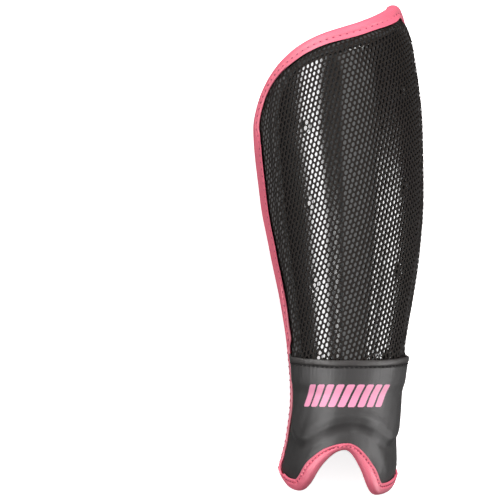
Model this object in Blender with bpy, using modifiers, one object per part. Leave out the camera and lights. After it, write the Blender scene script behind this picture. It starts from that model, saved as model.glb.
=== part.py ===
"""A field-sports shin guard, modelled in metres and lying face up on its two long edges.

The length runs along Y with the ankle at -Y, the front of the shin faces +Z and the floor is
z = 0. Every piece is laid on one curved surface, the outer face of the foam. A place on it is
(around, along): around runs from -1 at the left edge over 0 at the ridge to 1 at the right
edge, and along is the distance in metres from the lowest leg tip. A height above that surface
is called a lift. Each layer keeps LAYER_GAP to the next one.
"""

import math
from collections import namedtuple

import bmesh
import bpy
import numpy as np
from mathutils import Matrix, Vector

# Driving dimensions of the whole guard.
GUARD_LENGTH = 0.330
CALF_WIDTH = 0.118
CALF_DEPTH = 0.058

# The left edge leans outwards by this angle, and is this far above the floor for it. The right
# edge hangs straight down.
LEFT_LEAN = math.radians(20)
LEFT_EDGE_RISE = 0.0005

# Wall of each layer, and the clearance between neighbours.
FOAM_THICK = 0.0045
FLANGE_THICK = 0.0020
ARCH_FOAM_THICK = 0.0025
SHELL_THICK = 0.0020
MESH_THICK = 0.0010
CUFF_THICK = 0.0012
HEM_THICK = 0.0018
BINDING_WALL = 0.0010
LAYER_GAP = 0.00035
CUFF_SLACK = 0.0004
EDGE_GAP = 0.0012
SLOT_GAP = 0.0007

# Foam flange that the binding folds over.
FLANGE_WIDTH = 0.0075
FLANGE_RAMP = 0.0050
CUFF_LEAD = 0.0020

# Hard shell: its outline, its raised ridge and the slope of the cloth over its edge.
SHELL_AROUND = 0.62
SHELL_TOP_MARGIN = 0.015
SHELL_ARCH_ALONG = 0.054
SHELL_ARCH_RISE = 0.018
SHELL_CORNER = 0.016
SHELL_CORNER_START = 0.40
RIB_RISE = 0.0009
RIB_GROOVE = 0.0005
RIB_HALF = 0.124
RIB_FOOT = 0.186
RIB_END = 0.248
RIB_FADE = 0.022
COVER_HOLD = 0.0040
COVER_RAMP = 0.0080

# Air vents through shell and foam.
VENT_WIDTH = 0.0064
VENT_LENGTH = 0.0092
VENT_SIDES = 12
VENT_OVERCUT = 0.004

# Ankle cuff, its folded hem and the cloth that is tucked under it.
HEM_ALONG = 0.091
HEM_SIDE_RISE = 0.005
HEM_WIDTH = 0.0047
TUCK_LENGTH = 0.013
TUCK_RAMP = 0.009
TUCK_HOLD = 0.003
CUFF_SIDE_INSET = 0.0050
CUFF_FOOT_INSET = 0.0022

# Binding tape.
BINDING_REACH = 0.0070
BINDING_CUFF_REACH = 0.0040
BINDING_LINING_REACH = 0.0062
BINDING_REACH_RAMP = 0.008
BINDING_HEM_GAP = 0.0015
BINDING_CROWN = 0.0022
BINDING_PRESS_HEIGHT = 0.004
BINDING_PRESSED_WEB = 0.0005
BINDING_SEAM = 0.003
FAT_ZONE_START = 0.006
FAT_ZONE_END = 0.018

# Outline: the slanted top edge with its two rounded shoulders.
TOP_MIDDLE = 0.967
TOP_SLOPE = 0.072
LEFT_SHOULDER_START = 0.22
LEFT_SHOULDER_DROP = 0.150
RIGHT_SHOULDER_START = 0.50
RIGHT_SHOULDER_DROP = 0.200

# Outline: the instep arch between the two ankle legs.
ARCH_AROUND = -0.03
ARCH_ALONG = 0.0310
LEFT_TIP_AROUND = -0.62
LEFT_TIP_ALONG = 0.0028
RIGHT_TIP_AROUND = 0.42
LEG_CORNER_RISE = 0.0240

# Sections from ankle to top. along is a share of GUARD_LENGTH, left and right are the half
# widths as shares of half CALF_WIDTH, ridge and edge are heights as shares of CALF_DEPTH, and
# shift moves the ridge sideways by a share of CALF_WIDTH.
Section = namedtuple("Section", "along left right ridge edge shift")
SECTIONS = (
    Section(0.000, 0.627, 0.610, 0.828, 0.000, -0.051),
    Section(0.030, 0.649, 0.640, 0.836, 0.000, -0.051),
    Section(0.060, 0.675, 0.678, 0.828, 0.000, -0.051),
    Section(0.112, 0.632, 0.662, 0.810, 0.052, -0.042),
    Section(0.194, 0.600, 0.662, 0.795, 0.138, -0.025),
    Section(0.303, 0.653, 0.720, 0.812, 0.185, -0.011),
    Section(0.394, 0.724, 0.820, 0.855, 0.150, -0.008),
    Section(0.500, 0.829, 0.928, 0.915, 0.065, -0.004),
    Section(0.606, 0.919, 0.980, 0.966, 0.000, 0.000),
    Section(0.758, 1.000, 0.962, 0.990, 0.000, 0.000),
    Section(0.909, 0.932, 0.840, 0.966, 0.026, 0.000),
    Section(1.000, 0.797, 0.715, 0.914, 0.052, 0.000),
)

# Two rows of vents: where each row runs around the guard, and its vents as shares of the length.
VentRow = namedtuple("VentRow", "around alongs")
VENT_ROWS = (
    VentRow(-0.38, (0.754, 0.598, 0.435, 0.285)),
    VentRow(0.38, (0.824, 0.629, 0.459, 0.285)),
)

# Fineness of each grid, in faces across and along.
PAD_GRID = (28, 17)
FOOT_STEPS = 7
SHELL_GRID = (20, 16)
CUFF_GRID = (26, 12)
HEM_STEPS = 1
EDGE_BINDING_STEPS = 78
ARCH_BINDING_STEPS = 30
OUTLINE_STEPS = 120

# Girths round the front that the grids' first and last lines are spaced for.
PAD_WIDTH = 0.170
CUFF_SPAN = 0.130

# Levels that follow from the walls above, measured as lifts.
FLANGE_DIP = FOAM_THICK - FLANGE_THICK
ARCH_RISE = FOAM_THICK - ARCH_FOAM_THICK
SHELL_LIFT = LAYER_GAP + RIB_GROOVE
SHELL_TOP = SHELL_LIFT + SHELL_THICK + RIB_RISE
COVER_STEP = SHELL_TOP
CUFF_OVER_MESH = MESH_THICK + LAYER_GAP
SIDE_SLOT_TOP = -FLANGE_DIP + LAYER_GAP + MESH_THICK + SLOT_GAP
ARCH_SLOT_TOP = LAYER_GAP + CUFF_SLACK + CUFF_THICK + SLOT_GAP
TINY = 1e-5


def clear_scene():
    """Removes what the file opened with."""
    for obj in list(bpy.data.objects):
        bpy.data.objects.remove(obj, do_unlink=True)


def make_collection(name):
    """Adds a collection to the scene."""
    collection = bpy.data.collections.new(name)
    bpy.context.scene.collection.children.link(collection)
    return collection


def make_material(name, colour, roughness, metallic=0.0):
    """A Principled material of one colour."""
    material = bpy.data.materials.new(name)
    material.use_nodes = True
    shader = material.node_tree.nodes["Principled BSDF"]
    shader.inputs["Base Color"].default_value = (*colour, 1.0)
    shader.inputs["Roughness"].default_value = roughness
    shader.inputs["Metallic"].default_value = metallic
    return material


def smooth(value):
    """A rise from 0 to 1 with level ends, as value runs from 0 to 1."""
    value = np.clip(value, 0.0, 1.0)
    return value * value * (3.0 - 2.0 * value)


def monotone(x, xs, ys):
    """A smooth curve through (xs, ys) that never swings past its points."""
    step = np.diff(xs)
    slope = np.diff(ys) / step
    ends = np.zeros(len(xs))
    left, right = slope[:-1], slope[1:]
    same_way = left * right > 0
    mean = np.where(same_way, 2.0 * left * right / np.where(same_way, left + right, 1.0), 0.0)
    ends[1:-1] = mean
    ends[0], ends[-1] = slope[0], slope[-1]
    i = np.clip(np.searchsorted(xs, x) - 1, 0, len(xs) - 2)
    k = (x - xs[i]) / step[i]
    bow = (1 - k) ** 2 * k * ends[i] - k**2 * (1 - k) * ends[i + 1]
    return ys[i] + (ys[i + 1] - ys[i]) * smooth(k) + step[i] * bow


def surface(around, along):
    """Points of the foam's outer face: at each section a quarter ellipse on the right, and one
    that stops short of its end on the left."""
    share = np.clip(along / GUARD_LENGTH, 0.0, 1.0)
    table = np.array(SECTIONS)
    left, right, ridge, edge, shift = (
        monotone(share, table[:, 0], table[:, k]) for k in range(1, 6)
    )
    lean = np.where(around < 0, LEFT_LEAN, 0.0)
    edge = edge + np.where(around < 0, LEFT_EDGE_RISE / CALF_DEPTH, 0.0)
    turn = around * math.pi / 2 + lean * around * around
    half = np.where(around < 0, left, right) * CALF_WIDTH / 2
    fall = (np.cos(turn) - np.sin(lean)) / (1.0 - np.sin(lean))
    x = half * np.sin(turn) / np.cos(lean) + shift * CALF_WIDTH * fall
    z = CALF_DEPTH * (edge + (ridge - edge) * fall)
    return np.stack([x, along - GUARD_LENGTH / 2, z], axis=-1)


def slopes(around, along):
    """How the surface moves for a small step around it and along it."""
    by_around = (surface(around + TINY, along) - surface(around - TINY, along)) / (2 * TINY)
    by_along = (surface(around, along + TINY) - surface(around, along - TINY)) / (2 * TINY)
    return by_around, by_along


def normals(around, along):
    """Unit directions out of the surface."""
    normal = np.cross(*slopes(around, along))
    return normal / np.linalg.norm(normal, axis=-1, keepdims=True)


def lifted(around, along, lift):
    """Points at a lift above the surface."""
    return surface(around, along) + normals(around, along) * np.asarray(lift)[..., None]


def corner_drop(around, start, end, drop):
    """The quarter ellipse by which a corner between start and end falls away."""
    k = np.clip((np.abs(around) - start) / (end - start), 0.0, 1.0)
    return drop * (1.0 - np.sqrt(1.0 - k * k))


def top_edge(around):
    """The slanted top edge, higher on the right, with a rounded shoulder at each side."""
    line = (TOP_MIDDLE + TOP_SLOPE * around) * GUARD_LENGTH
    start = np.where(around < 0, LEFT_SHOULDER_START, RIGHT_SHOULDER_START)
    drop = np.where(around < 0, LEFT_SHOULDER_DROP, RIGHT_SHOULDER_DROP) * GUARD_LENGTH
    return line - corner_drop(around, start, 1.0, drop)


def foot_edge(around):
    """The lower edge: a cosine arch from tip to tip, and a rounded corner outside each tip."""
    on_left = around < ARCH_AROUND
    tip = np.where(on_left, LEFT_TIP_AROUND, RIGHT_TIP_AROUND)
    tip_along = np.where(on_left, LEFT_TIP_ALONG, 0.0)
    k = np.clip((around - ARCH_AROUND) / (tip - ARCH_AROUND), 0.0, 1.0)
    arch = (ARCH_ALONG - tip_along) * (1.0 + np.cos(math.pi * k)) / 2
    return tip_along + arch + corner_drop(around, np.abs(tip), 1.0, LEG_CORNER_RISE)


def outline_loop():
    """The guard's edge as (around, along) rows: from the top middle down the left side,
    over the arch, and up the right side."""
    k = np.linspace(0.0, 1.0, OUTLINE_STEPS)
    to_left = -np.sin(k * math.pi / 2)
    across = -np.cos(k * math.pi)
    left_end, right_end = np.full_like(k, -1.0), np.full_like(k, 1.0)
    left_high, right_high = top_edge(left_end)[0], top_edge(right_end)[0]
    left_low, right_low = foot_edge(left_end)[0], foot_edge(right_end)[0]
    parts = (
        (to_left, top_edge(to_left)),
        (left_end, left_high + (left_low - left_high) * k),
        (across, foot_edge(across)),
        (right_end, right_low + (right_high - right_low) * k),
        (-to_left[::-1], top_edge(-to_left[::-1])),
    )
    rows = [np.stack(part, axis=1)[:-1] for part in parts]
    return np.concatenate(rows)


def path_lengths(loop):
    """Distance along the loop at each of its points."""
    points = surface(loop[:, 0], loop[:, 1])
    return np.concatenate([[0.0], np.cumsum(np.linalg.norm(np.diff(points, axis=0), axis=1))])


def inward(loop):
    """The step in (around, along) that moves each loop point one metre into the guard."""
    points = surface(loop[:, 0], loop[:, 1])
    tangent = np.roll(points, -1, axis=0) - np.roll(points, 1, axis=0)
    by_around, by_along = slopes(loop[:, 0], loop[:, 1])
    into = np.cross(np.cross(by_around, by_along), tangent)
    into /= np.linalg.norm(into, axis=1, keepdims=True)
    steps = [(into * by).sum(axis=1) / (by * by).sum(axis=1) for by in (by_around, by_along)]
    return np.stack(steps, axis=1)


class Edge:
    """The outline with what changes along it."""

    def __init__(self):
        self.loop = outline_loop()
        self.into = inward(self.loop)
        self.points = surface(self.loop[:, 0], self.loop[:, 1])
        self.length = path_lengths(self.loop)
        foot = np.arange(2 * (OUTLINE_STEPS - 1), 3 * (OUTLINE_STEPS - 1))
        half_corner = math.sqrt(0.5)
        left_seam = LEFT_TIP_AROUND - (1 + LEFT_TIP_AROUND) * half_corner
        right_seam = RIGHT_TIP_AROUND + (1 - RIGHT_TIP_AROUND) * half_corner
        arounds = self.loop[foot, 0]
        self.arch_start = self.length[foot[np.searchsorted(arounds, left_seam)]]
        self.arch_end = self.length[foot[np.searchsorted(arounds, right_seam)]]
        beyond = np.maximum(self.arch_start - self.length, self.length - self.arch_end)
        self.beyond = np.maximum(beyond, 0.0)
        self.fat = 1.0 - smooth((self.beyond - FAT_ZONE_START) / (FAT_ZONE_END - FAT_ZONE_START))
        self.by_foot = 1.0 - smooth(self.beyond / BINDING_SEAM)

    def inset(self, distance):
        """The outline moved into the guard by a distance, or by one distance for each point."""
        return self.loop + self.into * (np.zeros(len(self.loop)) + distance)[:, None]

    def near(self, around, along):
        """For each place, its distance to the outline and how fat the binding is there."""
        places = surface(around, along).reshape(-1, 3)
        gaps = np.linalg.norm(places[:, None, :] - self.points[None, :, :], axis=2)
        nearest = gaps.argmin(axis=1)
        distance = gaps[np.arange(len(places)), nearest]
        return distance.reshape(around.shape), self.fat[nearest].reshape(around.shape)


EDGE = Edge()


def shell_top_edge(around):
    """The shell's upper border, a margin under the guard's top edge."""
    corner = corner_drop(around, SHELL_CORNER_START, SHELL_AROUND, SHELL_CORNER)
    run = np.linalg.norm(slopes(around, top_edge(around))[0], axis=-1)
    slant = (top_edge(around + TINY) - top_edge(around - TINY)) / (2 * TINY) / run
    return top_edge(around) - SHELL_TOP_MARGIN * np.sqrt(1.0 + slant * slant) - corner


def shell_low_edge(around):
    """The shell's lower border, an arch of its own over the instep."""
    arch = SHELL_ARCH_RISE * (1.0 - np.cos(math.pi / 2 * around / SHELL_AROUND))
    corner = corner_drop(around, SHELL_CORNER_START, SHELL_AROUND, SHELL_CORNER)
    return SHELL_ARCH_ALONG - arch + corner


def shell_border():
    """Points all round the shell's border."""
    around = np.linspace(-SHELL_AROUND, SHELL_AROUND, OUTLINE_STEPS)
    high, low = shell_top_edge(around), shell_low_edge(around)
    k = np.linspace(0.0, 1.0, OUTLINE_STEPS)
    parts = [surface(around, high), surface(around, low)]
    for side, end in ((-SHELL_AROUND, 0), (SHELL_AROUND, -1)):
        parts.append(surface(np.full_like(k, side), low[end] + (high[end] - low[end]) * k))
    return np.concatenate(parts)


def over_shell(around, along):
    """1 on the shell and just past its border, falling to 0 beyond its slope."""
    places = surface(around, along).reshape(-1, 3)
    border = shell_border()
    gap = np.linalg.norm(places[:, None, :] - border[None, :, :], axis=2).min(axis=1)
    inside = np.abs(around) <= SHELL_AROUND
    inside &= (along <= shell_top_edge(around)) & (along >= shell_low_edge(around))
    gap = np.where(inside, 0.0, gap.reshape(around.shape))
    return 1.0 - smooth((gap - COVER_HOLD) / COVER_RAMP)


def rib_height(around, along):
    """The shell's raised ridge with a groove at each foot, fading out at both ends."""
    across = np.abs(around)
    top = 1.0 - smooth((across - RIB_HALF) / (RIB_FOOT - RIB_HALF))
    groove = smooth((across - RIB_HALF) / (RIB_FOOT - RIB_HALF))
    groove *= 1.0 - smooth((across - RIB_FOOT) / (RIB_END - RIB_FOOT))
    room = np.minimum(shell_top_edge(around) - along, along - shell_low_edge(around))
    return (RIB_RISE * top - RIB_GROOVE * groove) * smooth(room / RIB_FADE)


def foam_lifts(around, along, lead=0.0):
    """The foam's inner and outer lift: dipped outside for the side binding, thinned inside
    for the thicker one on the arch. With a lead the slopes start nearer to the edge."""
    distance, fat = EDGE.near(around, along)
    at_edge = 1.0 - smooth((distance + lead - FLANGE_WIDTH) / FLANGE_RAMP)
    return -FOAM_THICK + ARCH_RISE * fat * at_edge, -FLANGE_DIP * (1.0 - fat) * at_edge


def mesh_lift(around, along, lead=0.0):
    """The inner face of the net cloth: over the foam, and stretched over the shell."""
    distance = EDGE.near(around, along)[0]
    off_edge = smooth((distance + lead - FLANGE_WIDTH) / FLANGE_RAMP)
    step = COVER_STEP * over_shell(around, along) * off_edge
    return foam_lifts(around, along, lead)[1] + LAYER_GAP + step


def hem_edge(around):
    """The cuff's top line, a little higher at the sides."""
    return HEM_ALONG + HEM_SIDE_RISE * around * around


def cuff_lift(around, along):
    """The inner face of the cuff: over foam, shell and the tucked end of the net cloth."""
    start = hem_edge(around) - TUCK_LENGTH - TUCK_HOLD - TUCK_RAMP
    tucked = smooth((along - start) / TUCK_RAMP)
    return mesh_lift(around, along, CUFF_LEAD) + CUFF_SLACK + CUFF_OVER_MESH * tucked


def both_ends(count):
    """Shares from 0 to 1 that lie closer together towards both ends."""
    return (1.0 - np.cos(np.linspace(0.0, math.pi, count + 1))) / 2


def flange_shares(length, count, inset, both):
    """Shares of a length with lines at the flange and along its slope, as seen from 1 or
    from both ends, and even steps between."""
    marks = FLANGE_WIDTH + FLANGE_RAMP * np.array([0.0, 0.5, 1.0, 2.0])
    near = np.append(0.0, marks - inset) / length
    start = near if both else near[:1]
    steps = count - (len(near) - 1) * (2 if both else 1)
    middle = np.linspace(start[-1], 1.0 - near[-1], steps + 1)
    return np.concatenate([start[:-1], middle, 1.0 - near[:-1][::-1]])


def spaced(border, shares):
    """Rows along the border at shares of its length."""
    length = path_lengths(border)
    return np.stack([np.interp(shares * length[-1], length, border[:, c]) for c in (0, 1)], axis=1)


def coons(foot, top, left, right, across, upward):
    """A grid of (around, along) rows that fills four borders spaced by the same shares."""
    u, v = across[None, :, None], upward[:, None, None]
    between = (1 - v) * foot[None] + v * top[None]
    sides = (1 - u) * left[:, None] + u * right[:, None]
    corners = (1 - v) * ((1 - u) * foot[0] + u * foot[-1]) + v * ((1 - u) * top[0] + u * top[-1])
    return between + sides - corners


def loop_part(loop, start, end):
    """The loop's points between two distances along the outline, the first one at start."""
    ends = [[np.interp(at, EDGE.length, loop[:, c]) for c in (0, 1)] for at in (start, end)]
    keep = (EDGE.length > start + TINY) & (EDGE.length < end - TINY)
    return np.concatenate([[ends[0]], loop[keep], [ends[1]]])


def length_at(side, along):
    """Distance along the outline where its left or right side passes a height."""
    foot_low, foot_high = EDGE.arch_start, EDGE.arch_end
    on_side = (EDGE.length <= foot_low) if side < 0 else (EDGE.length >= foot_high)
    on_side &= np.abs(EDGE.loop[:, 0] - side) < TINY
    heights, lengths = EDGE.loop[on_side, 1], EDGE.length[on_side]
    order = np.argsort(heights)
    return float(np.interp(along, heights[order], lengths[order]))


def shoulder_length(side):
    """Distance along the outline to the middle of a shoulder's curve."""
    start = LEFT_SHOULDER_START if side < 0 else RIGHT_SHOULDER_START
    around = side * (start + (1 - start) * math.sqrt(0.5))
    upper = EDGE.loop[:, 1] > GUARD_LENGTH / 2
    gaps = np.where(upper, np.abs(EDGE.loop[:, 0] - around), 1.0)
    return EDGE.length[gaps.argmin()]


def top_part(loop):
    """The loop's points over the top, from the left shoulder to the right one."""
    left = loop_part(loop, 0.0, shoulder_length(-1))[::-1]
    right = loop_part(loop, shoulder_length(1), EDGE.length[-1])[::-1]
    return np.concatenate([left, right])


def tuck_row(left, right, shares):
    """The line across the foam under which the net cloth's end is tucked."""
    return left + (right - left) * shares[:, None]


def upper_places():
    """The outline above the line where the net cloth ends under the cuff."""
    inset = BINDING_WALL + EDGE_GAP
    loop = EDGE.inset(inset)
    across = flange_shares(PAD_WIDTH, PAD_GRID[0], inset, True)
    upward = flange_shares(GUARD_LENGTH - HEM_ALONG, PAD_GRID[1], inset, False)
    low = HEM_ALONG - TUCK_LENGTH
    left = spaced(loop_part(loop, shoulder_length(-1), length_at(-1, low))[::-1], upward)
    right = spaced(loop_part(loop, length_at(1, low), shoulder_length(1)), upward)
    foot = tuck_row(left[0], right[0], across)
    return coons(foot, spaced(top_part(loop), across), left, right, across, upward)


def foam_places():
    """The whole outline, held back from the binding's crown. Its upper part has the same
    places as the net cloth, so that the two stay parallel."""
    inset = BINDING_WALL + EDGE_GAP
    loop = EDGE.inset(inset)
    upper = upper_places()
    low = HEM_ALONG - TUCK_LENGTH
    across = np.linspace(0.0, 1.0, PAD_GRID[0] + 1)
    upward = 1.0 - flange_shares(low, FOOT_STEPS, inset, False)[::-1]
    left = spaced(loop_part(loop, length_at(-1, low), EDGE.arch_start)[::-1], upward)
    right = spaced(loop_part(loop, EDGE.arch_end, length_at(1, low)), upward)
    foot = spaced(loop_part(loop, EDGE.arch_start, EDGE.arch_end), across)
    lower = coons(foot, upper[0], left, right, across, upward)
    return np.concatenate([lower[:-1], upper])


def shell_places():
    """A grid whose lines run straight along the guard, so that they follow the ridge."""
    across, upward = SHELL_GRID
    around = np.linspace(-SHELL_AROUND, SHELL_AROUND, across + 1)
    k = both_ends(upward)[:, None]
    low, high = shell_low_edge(around), shell_top_edge(around)
    columns = np.broadcast_to(around, (upward + 1, across + 1))
    return np.stack([columns, low + (high - low) * k], axis=2)


def cuff_side(side, high):
    """One long edge of the cuff, from its foot corner up to a height."""
    inset = CUFF_SIDE_INSET + (CUFF_FOOT_INSET - CUFF_SIDE_INSET) * EDGE.by_foot
    loop = EDGE.inset(inset)
    if side < 0:
        return loop_part(loop, length_at(side, high), EDGE.arch_start)[::-1]
    return loop_part(loop, EDGE.arch_end, length_at(side, high))


def cuff_shares():
    """Shares across the cuff, matched to the flange that it lies on."""
    return flange_shares(CUFF_SPAN, CUFF_GRID[0], CUFF_SIDE_INSET, True)


def cuff_places():
    """From the arch up to the hem's lower line."""
    across, upward = cuff_shares(), both_ends(CUFF_GRID[1])
    seam_drop = HEM_WIDTH + LAYER_GAP
    high = float(hem_edge(np.array(1.0))) - seam_drop
    left = spaced(cuff_side(-1, high), upward)
    right = spaced(cuff_side(1, high), upward)
    foot = spaced(loop_part(EDGE.inset(CUFF_FOOT_INSET), EDGE.arch_start, EDGE.arch_end), across)
    around = left[-1, 0] + (right[-1, 0] - left[-1, 0]) * across
    top = np.stack([around, hem_edge(around) - seam_drop], axis=1)
    left[-1], right[-1] = top[0], top[-1]
    return coons(foot, top, left, right, across, upward)


def hem_places():
    """A narrow strip along the cuff's top line."""
    across = CUFF_GRID[0]
    high = float(hem_edge(np.array(1.0)))
    ends = [cuff_side(side, high) for side in (-1, 1)]
    around = ends[0][-1, 0] + (ends[1][-1, 0] - ends[0][-1, 0]) * cuff_shares()
    down = np.linspace(HEM_WIDTH, 0.0, HEM_STEPS + 1)[:, None]
    columns = np.broadcast_to(around, (HEM_STEPS + 1, across + 1))
    return np.stack([columns, hem_edge(around) - down], axis=2)


def add_object(name, mesh, material, collection):
    """Links a mesh as a named, smooth-shaded object with its own material."""
    mesh.materials.append(material)
    mesh.shade_smooth()
    mesh.set_sharp_from_angle(angle=math.radians(40))
    obj = bpy.data.objects.new(name, mesh)
    collection.objects.link(obj)
    return obj


def grid_mesh(name, points):
    """An open surface through a grid of points, facing out of the guard."""
    rows, columns = points.shape[:2]
    index = np.arange(rows * columns).reshape(rows, columns)
    quads = np.stack([index[:-1, :-1], index[:-1, 1:], index[1:, 1:], index[1:, :-1]], axis=2)
    mesh = bpy.data.meshes.new(name)
    mesh.from_pydata(points.reshape(-1, 3).tolist(), [], quads.reshape(-1, 4).tolist())
    mesh.update()
    return mesh


def add_solidify(obj, thickness):
    """Thickens an open surface outwards."""
    solidify = obj.modifiers.new("Wall", "SOLIDIFY")
    solidify.thickness = thickness
    solidify.offset = 1.0
    return solidify


def add_layer(name, places, lift, thickness, material, collection):
    """One layer of even thickness: its inner face at a lift, thickened outwards."""
    points = lifted(places[..., 0], places[..., 1], lift)
    obj = add_object(name, grid_mesh(name, points), material, collection)
    add_solidify(obj, thickness)
    return obj


def add_foam(material, collection):
    """The foam pad. A vertex group makes it thinner where the binding grips it."""
    places = foam_places()
    inner, outer = foam_lifts(places[..., 0], places[..., 1])
    obj = add_layer("foam_liner", places, inner, FOAM_THICK, material, collection)
    group = obj.vertex_groups.new(name="thickness")
    for i, share in enumerate(((outer - inner) / FOAM_THICK).ravel()):
        group.add([i], float(share), "REPLACE")
    obj.modifiers["Wall"].vertex_group = group.name
    return obj


def add_vent_cutters(collection):
    """One oval prism for each vent, along the surface's normal there."""
    height = FOAM_THICK + SHELL_TOP + 2 * VENT_OVERCUT
    middle = (SHELL_TOP - FOAM_THICK) / 2
    for row in VENT_ROWS:
        for number, share in enumerate(row.alongs):
            place = np.array([row.around]), np.array([share * GUARD_LENGTH])
            centre = lifted(*place, np.array([middle]))[0]
            out = Vector(normals(*place)[0])
            lengthwise = Vector(slopes(*place)[1][0]).normalized()
            crosswise = lengthwise.cross(out).normalized()
            bm = bmesh.new()
            bmesh.ops.create_cone(
                bm, cap_ends=True, segments=VENT_SIDES, radius1=0.5, radius2=0.5, depth=height
            )
            bmesh.ops.scale(bm, vec=(VENT_WIDTH, VENT_LENGTH, 1.0), verts=bm.verts)
            mesh = bpy.data.meshes.new("vent_cutter")
            bm.to_mesh(mesh)
            bm.free()
            side = "left" if row.around < 0 else "right"
            cutter = bpy.data.objects.new(f"vent_cutter_{side}_{number}", mesh)
            turn = Matrix((crosswise, out.cross(crosswise), out)).transposed()
            cutter.matrix_world = Matrix.Translation(centre) @ turn.to_4x4()
            cutter.hide_render = True
            cutter.display_type = "WIRE"
            collection.objects.link(cutter)


def cut_vents(obj, cutters):
    """Cuts every vent through an object."""
    cut = obj.modifiers.new("Vents", "BOOLEAN")
    cut.operation = "DIFFERENCE"
    cut.operand_type = "COLLECTION"
    cut.collection = cutters


def binding_section(low, high, reach, pressed):
    """The tape's folded section as (into the guard, lift) rows, round its outside and back.
    Its crown is round, or flat where it is pressed on the floor."""
    outer_low, outer_high = low - BINDING_WALL, high + BINDING_WALL
    middle = (outer_low + outer_high) / 2
    crown = BINDING_CROWN
    bend = crown * (1 - math.sqrt(0.5))
    side = bend * (1 - pressed)
    web = BINDING_WALL + BINDING_PRESSED_WEB * pressed
    return (
        (reach, outer_high),
        (crown, outer_high),
        (side, outer_high - bend),
        (0.0, middle),
        (side, outer_low + bend),
        (crown, outer_low),
        (BINDING_LINING_REACH, outer_low),
        (BINDING_LINING_REACH, low),
        (web, low),
        (BINDING_WALL, high),
        (reach, high),
    )


def add_binding(name, start, end, steps, material, collection):
    """Folded tape round the outline between two distances along it. Its section follows the
    layers that it grips: thin at the sides, fat on the arch, narrow beside the cuff."""
    total = EDGE.length[-1] + np.linalg.norm(EDGE.points[0] - EDGE.points[-1])
    stations = np.linspace(start, end, steps + 1) % total
    closed = np.append(EDGE.length, total)

    def along_loop(values):
        values = np.append(values, values[0])
        return np.interp(stations, closed, values)

    around, along = along_loop(EDGE.loop[:, 0]), along_loop(EDGE.loop[:, 1])
    into = along_loop(EDGE.into[:, 0]), along_loop(EDGE.into[:, 1])
    fat, foot = along_loop(EDGE.fat), along_loop(EDGE.by_foot)
    side_low, arch_low = -FOAM_THICK - SLOT_GAP, -ARCH_FOAM_THICK - SLOT_GAP
    low = side_low + (arch_low - side_low) * fat
    high = SIDE_SLOT_TOP + (ARCH_SLOT_TOP - SIDE_SLOT_TOP) * fat
    above_cuff = smooth((along - hem_edge(np.ones_like(along)) - BINDING_HEM_GAP) / BINDING_REACH_RAMP)
    wide = np.maximum(above_cuff, foot)
    reach = BINDING_CUFF_REACH + (BINDING_REACH - BINDING_CUFF_REACH) * wide
    pressed = 1.0 - smooth(surface(around, along)[:, 2] / BINDING_PRESS_HEIGHT)
    bm = bmesh.new()
    rings = []
    for i in range(len(stations)):
        section = np.array(binding_section(low[i], high[i], reach[i], pressed[i]))
        ring_around = around[i] + into[0][i] * section[:, 0]
        ring_along = along[i] + into[1][i] * section[:, 0]
        points = lifted(ring_around, ring_along, section[:, 1])
        points[:, 2] = np.maximum(points[:, 2], 0.0)
        rings.append([bm.verts.new(point) for point in points])
    for ring, following in zip(rings, rings[1:]):
        for j in range(len(ring)):
            bm.faces.new((ring[j - 1], ring[j], following[j], following[j - 1]))
    bm.faces.new(rings[0])
    bm.faces.new(rings[-1][::-1])
    bmesh.ops.recalc_face_normals(bm, faces=bm.faces)
    mesh = bpy.data.meshes.new(name)
    bm.to_mesh(mesh)
    bm.free()
    return add_object(name, mesh, material, collection)


def add_bindings(material, collection):
    """The long tape over the sides and top, and the tape of the arch, butted on each leg."""
    total = EDGE.length[-1] + np.linalg.norm(EDGE.points[0] - EDGE.points[-1])
    left_seam, right_seam = EDGE.arch_start - BINDING_SEAM, EDGE.arch_end + BINDING_SEAM
    half_gap = LAYER_GAP / 2
    edge_start, edge_end = right_seam + half_gap, left_seam - half_gap + total
    arch_start, arch_end = left_seam + half_gap, right_seam - half_gap
    return (
        add_binding("edge_binding", edge_start, edge_end, EDGE_BINDING_STEPS, material, collection),
        add_binding("arch_binding", arch_start, arch_end, ARCH_BINDING_STEPS, material, collection),
    )


def centre_on_floor(pieces, name, collection):
    """Parents the pieces to an empty that puts the middle of their box over the origin."""
    holder = bpy.data.objects.new(name, None)
    collection.objects.link(holder)
    graph = bpy.context.evaluated_depsgraph_get()
    corners = []
    for obj in pieces:
        mesh = obj.evaluated_get(graph).to_mesh()
        points = np.empty(len(mesh.vertices) * 3, np.float32)
        mesh.vertices.foreach_get("co", points)
        corners += [points.reshape(-1, 3).min(axis=0), points.reshape(-1, 3).max(axis=0)]
    low, high = np.min(corners, axis=0), np.max(corners, axis=0)
    holder.location = (-(low[0] + high[0]) / 2, -(low[1] + high[1]) / 2, -low[2])
    for obj in pieces:
        obj.parent = holder
    return holder


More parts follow.
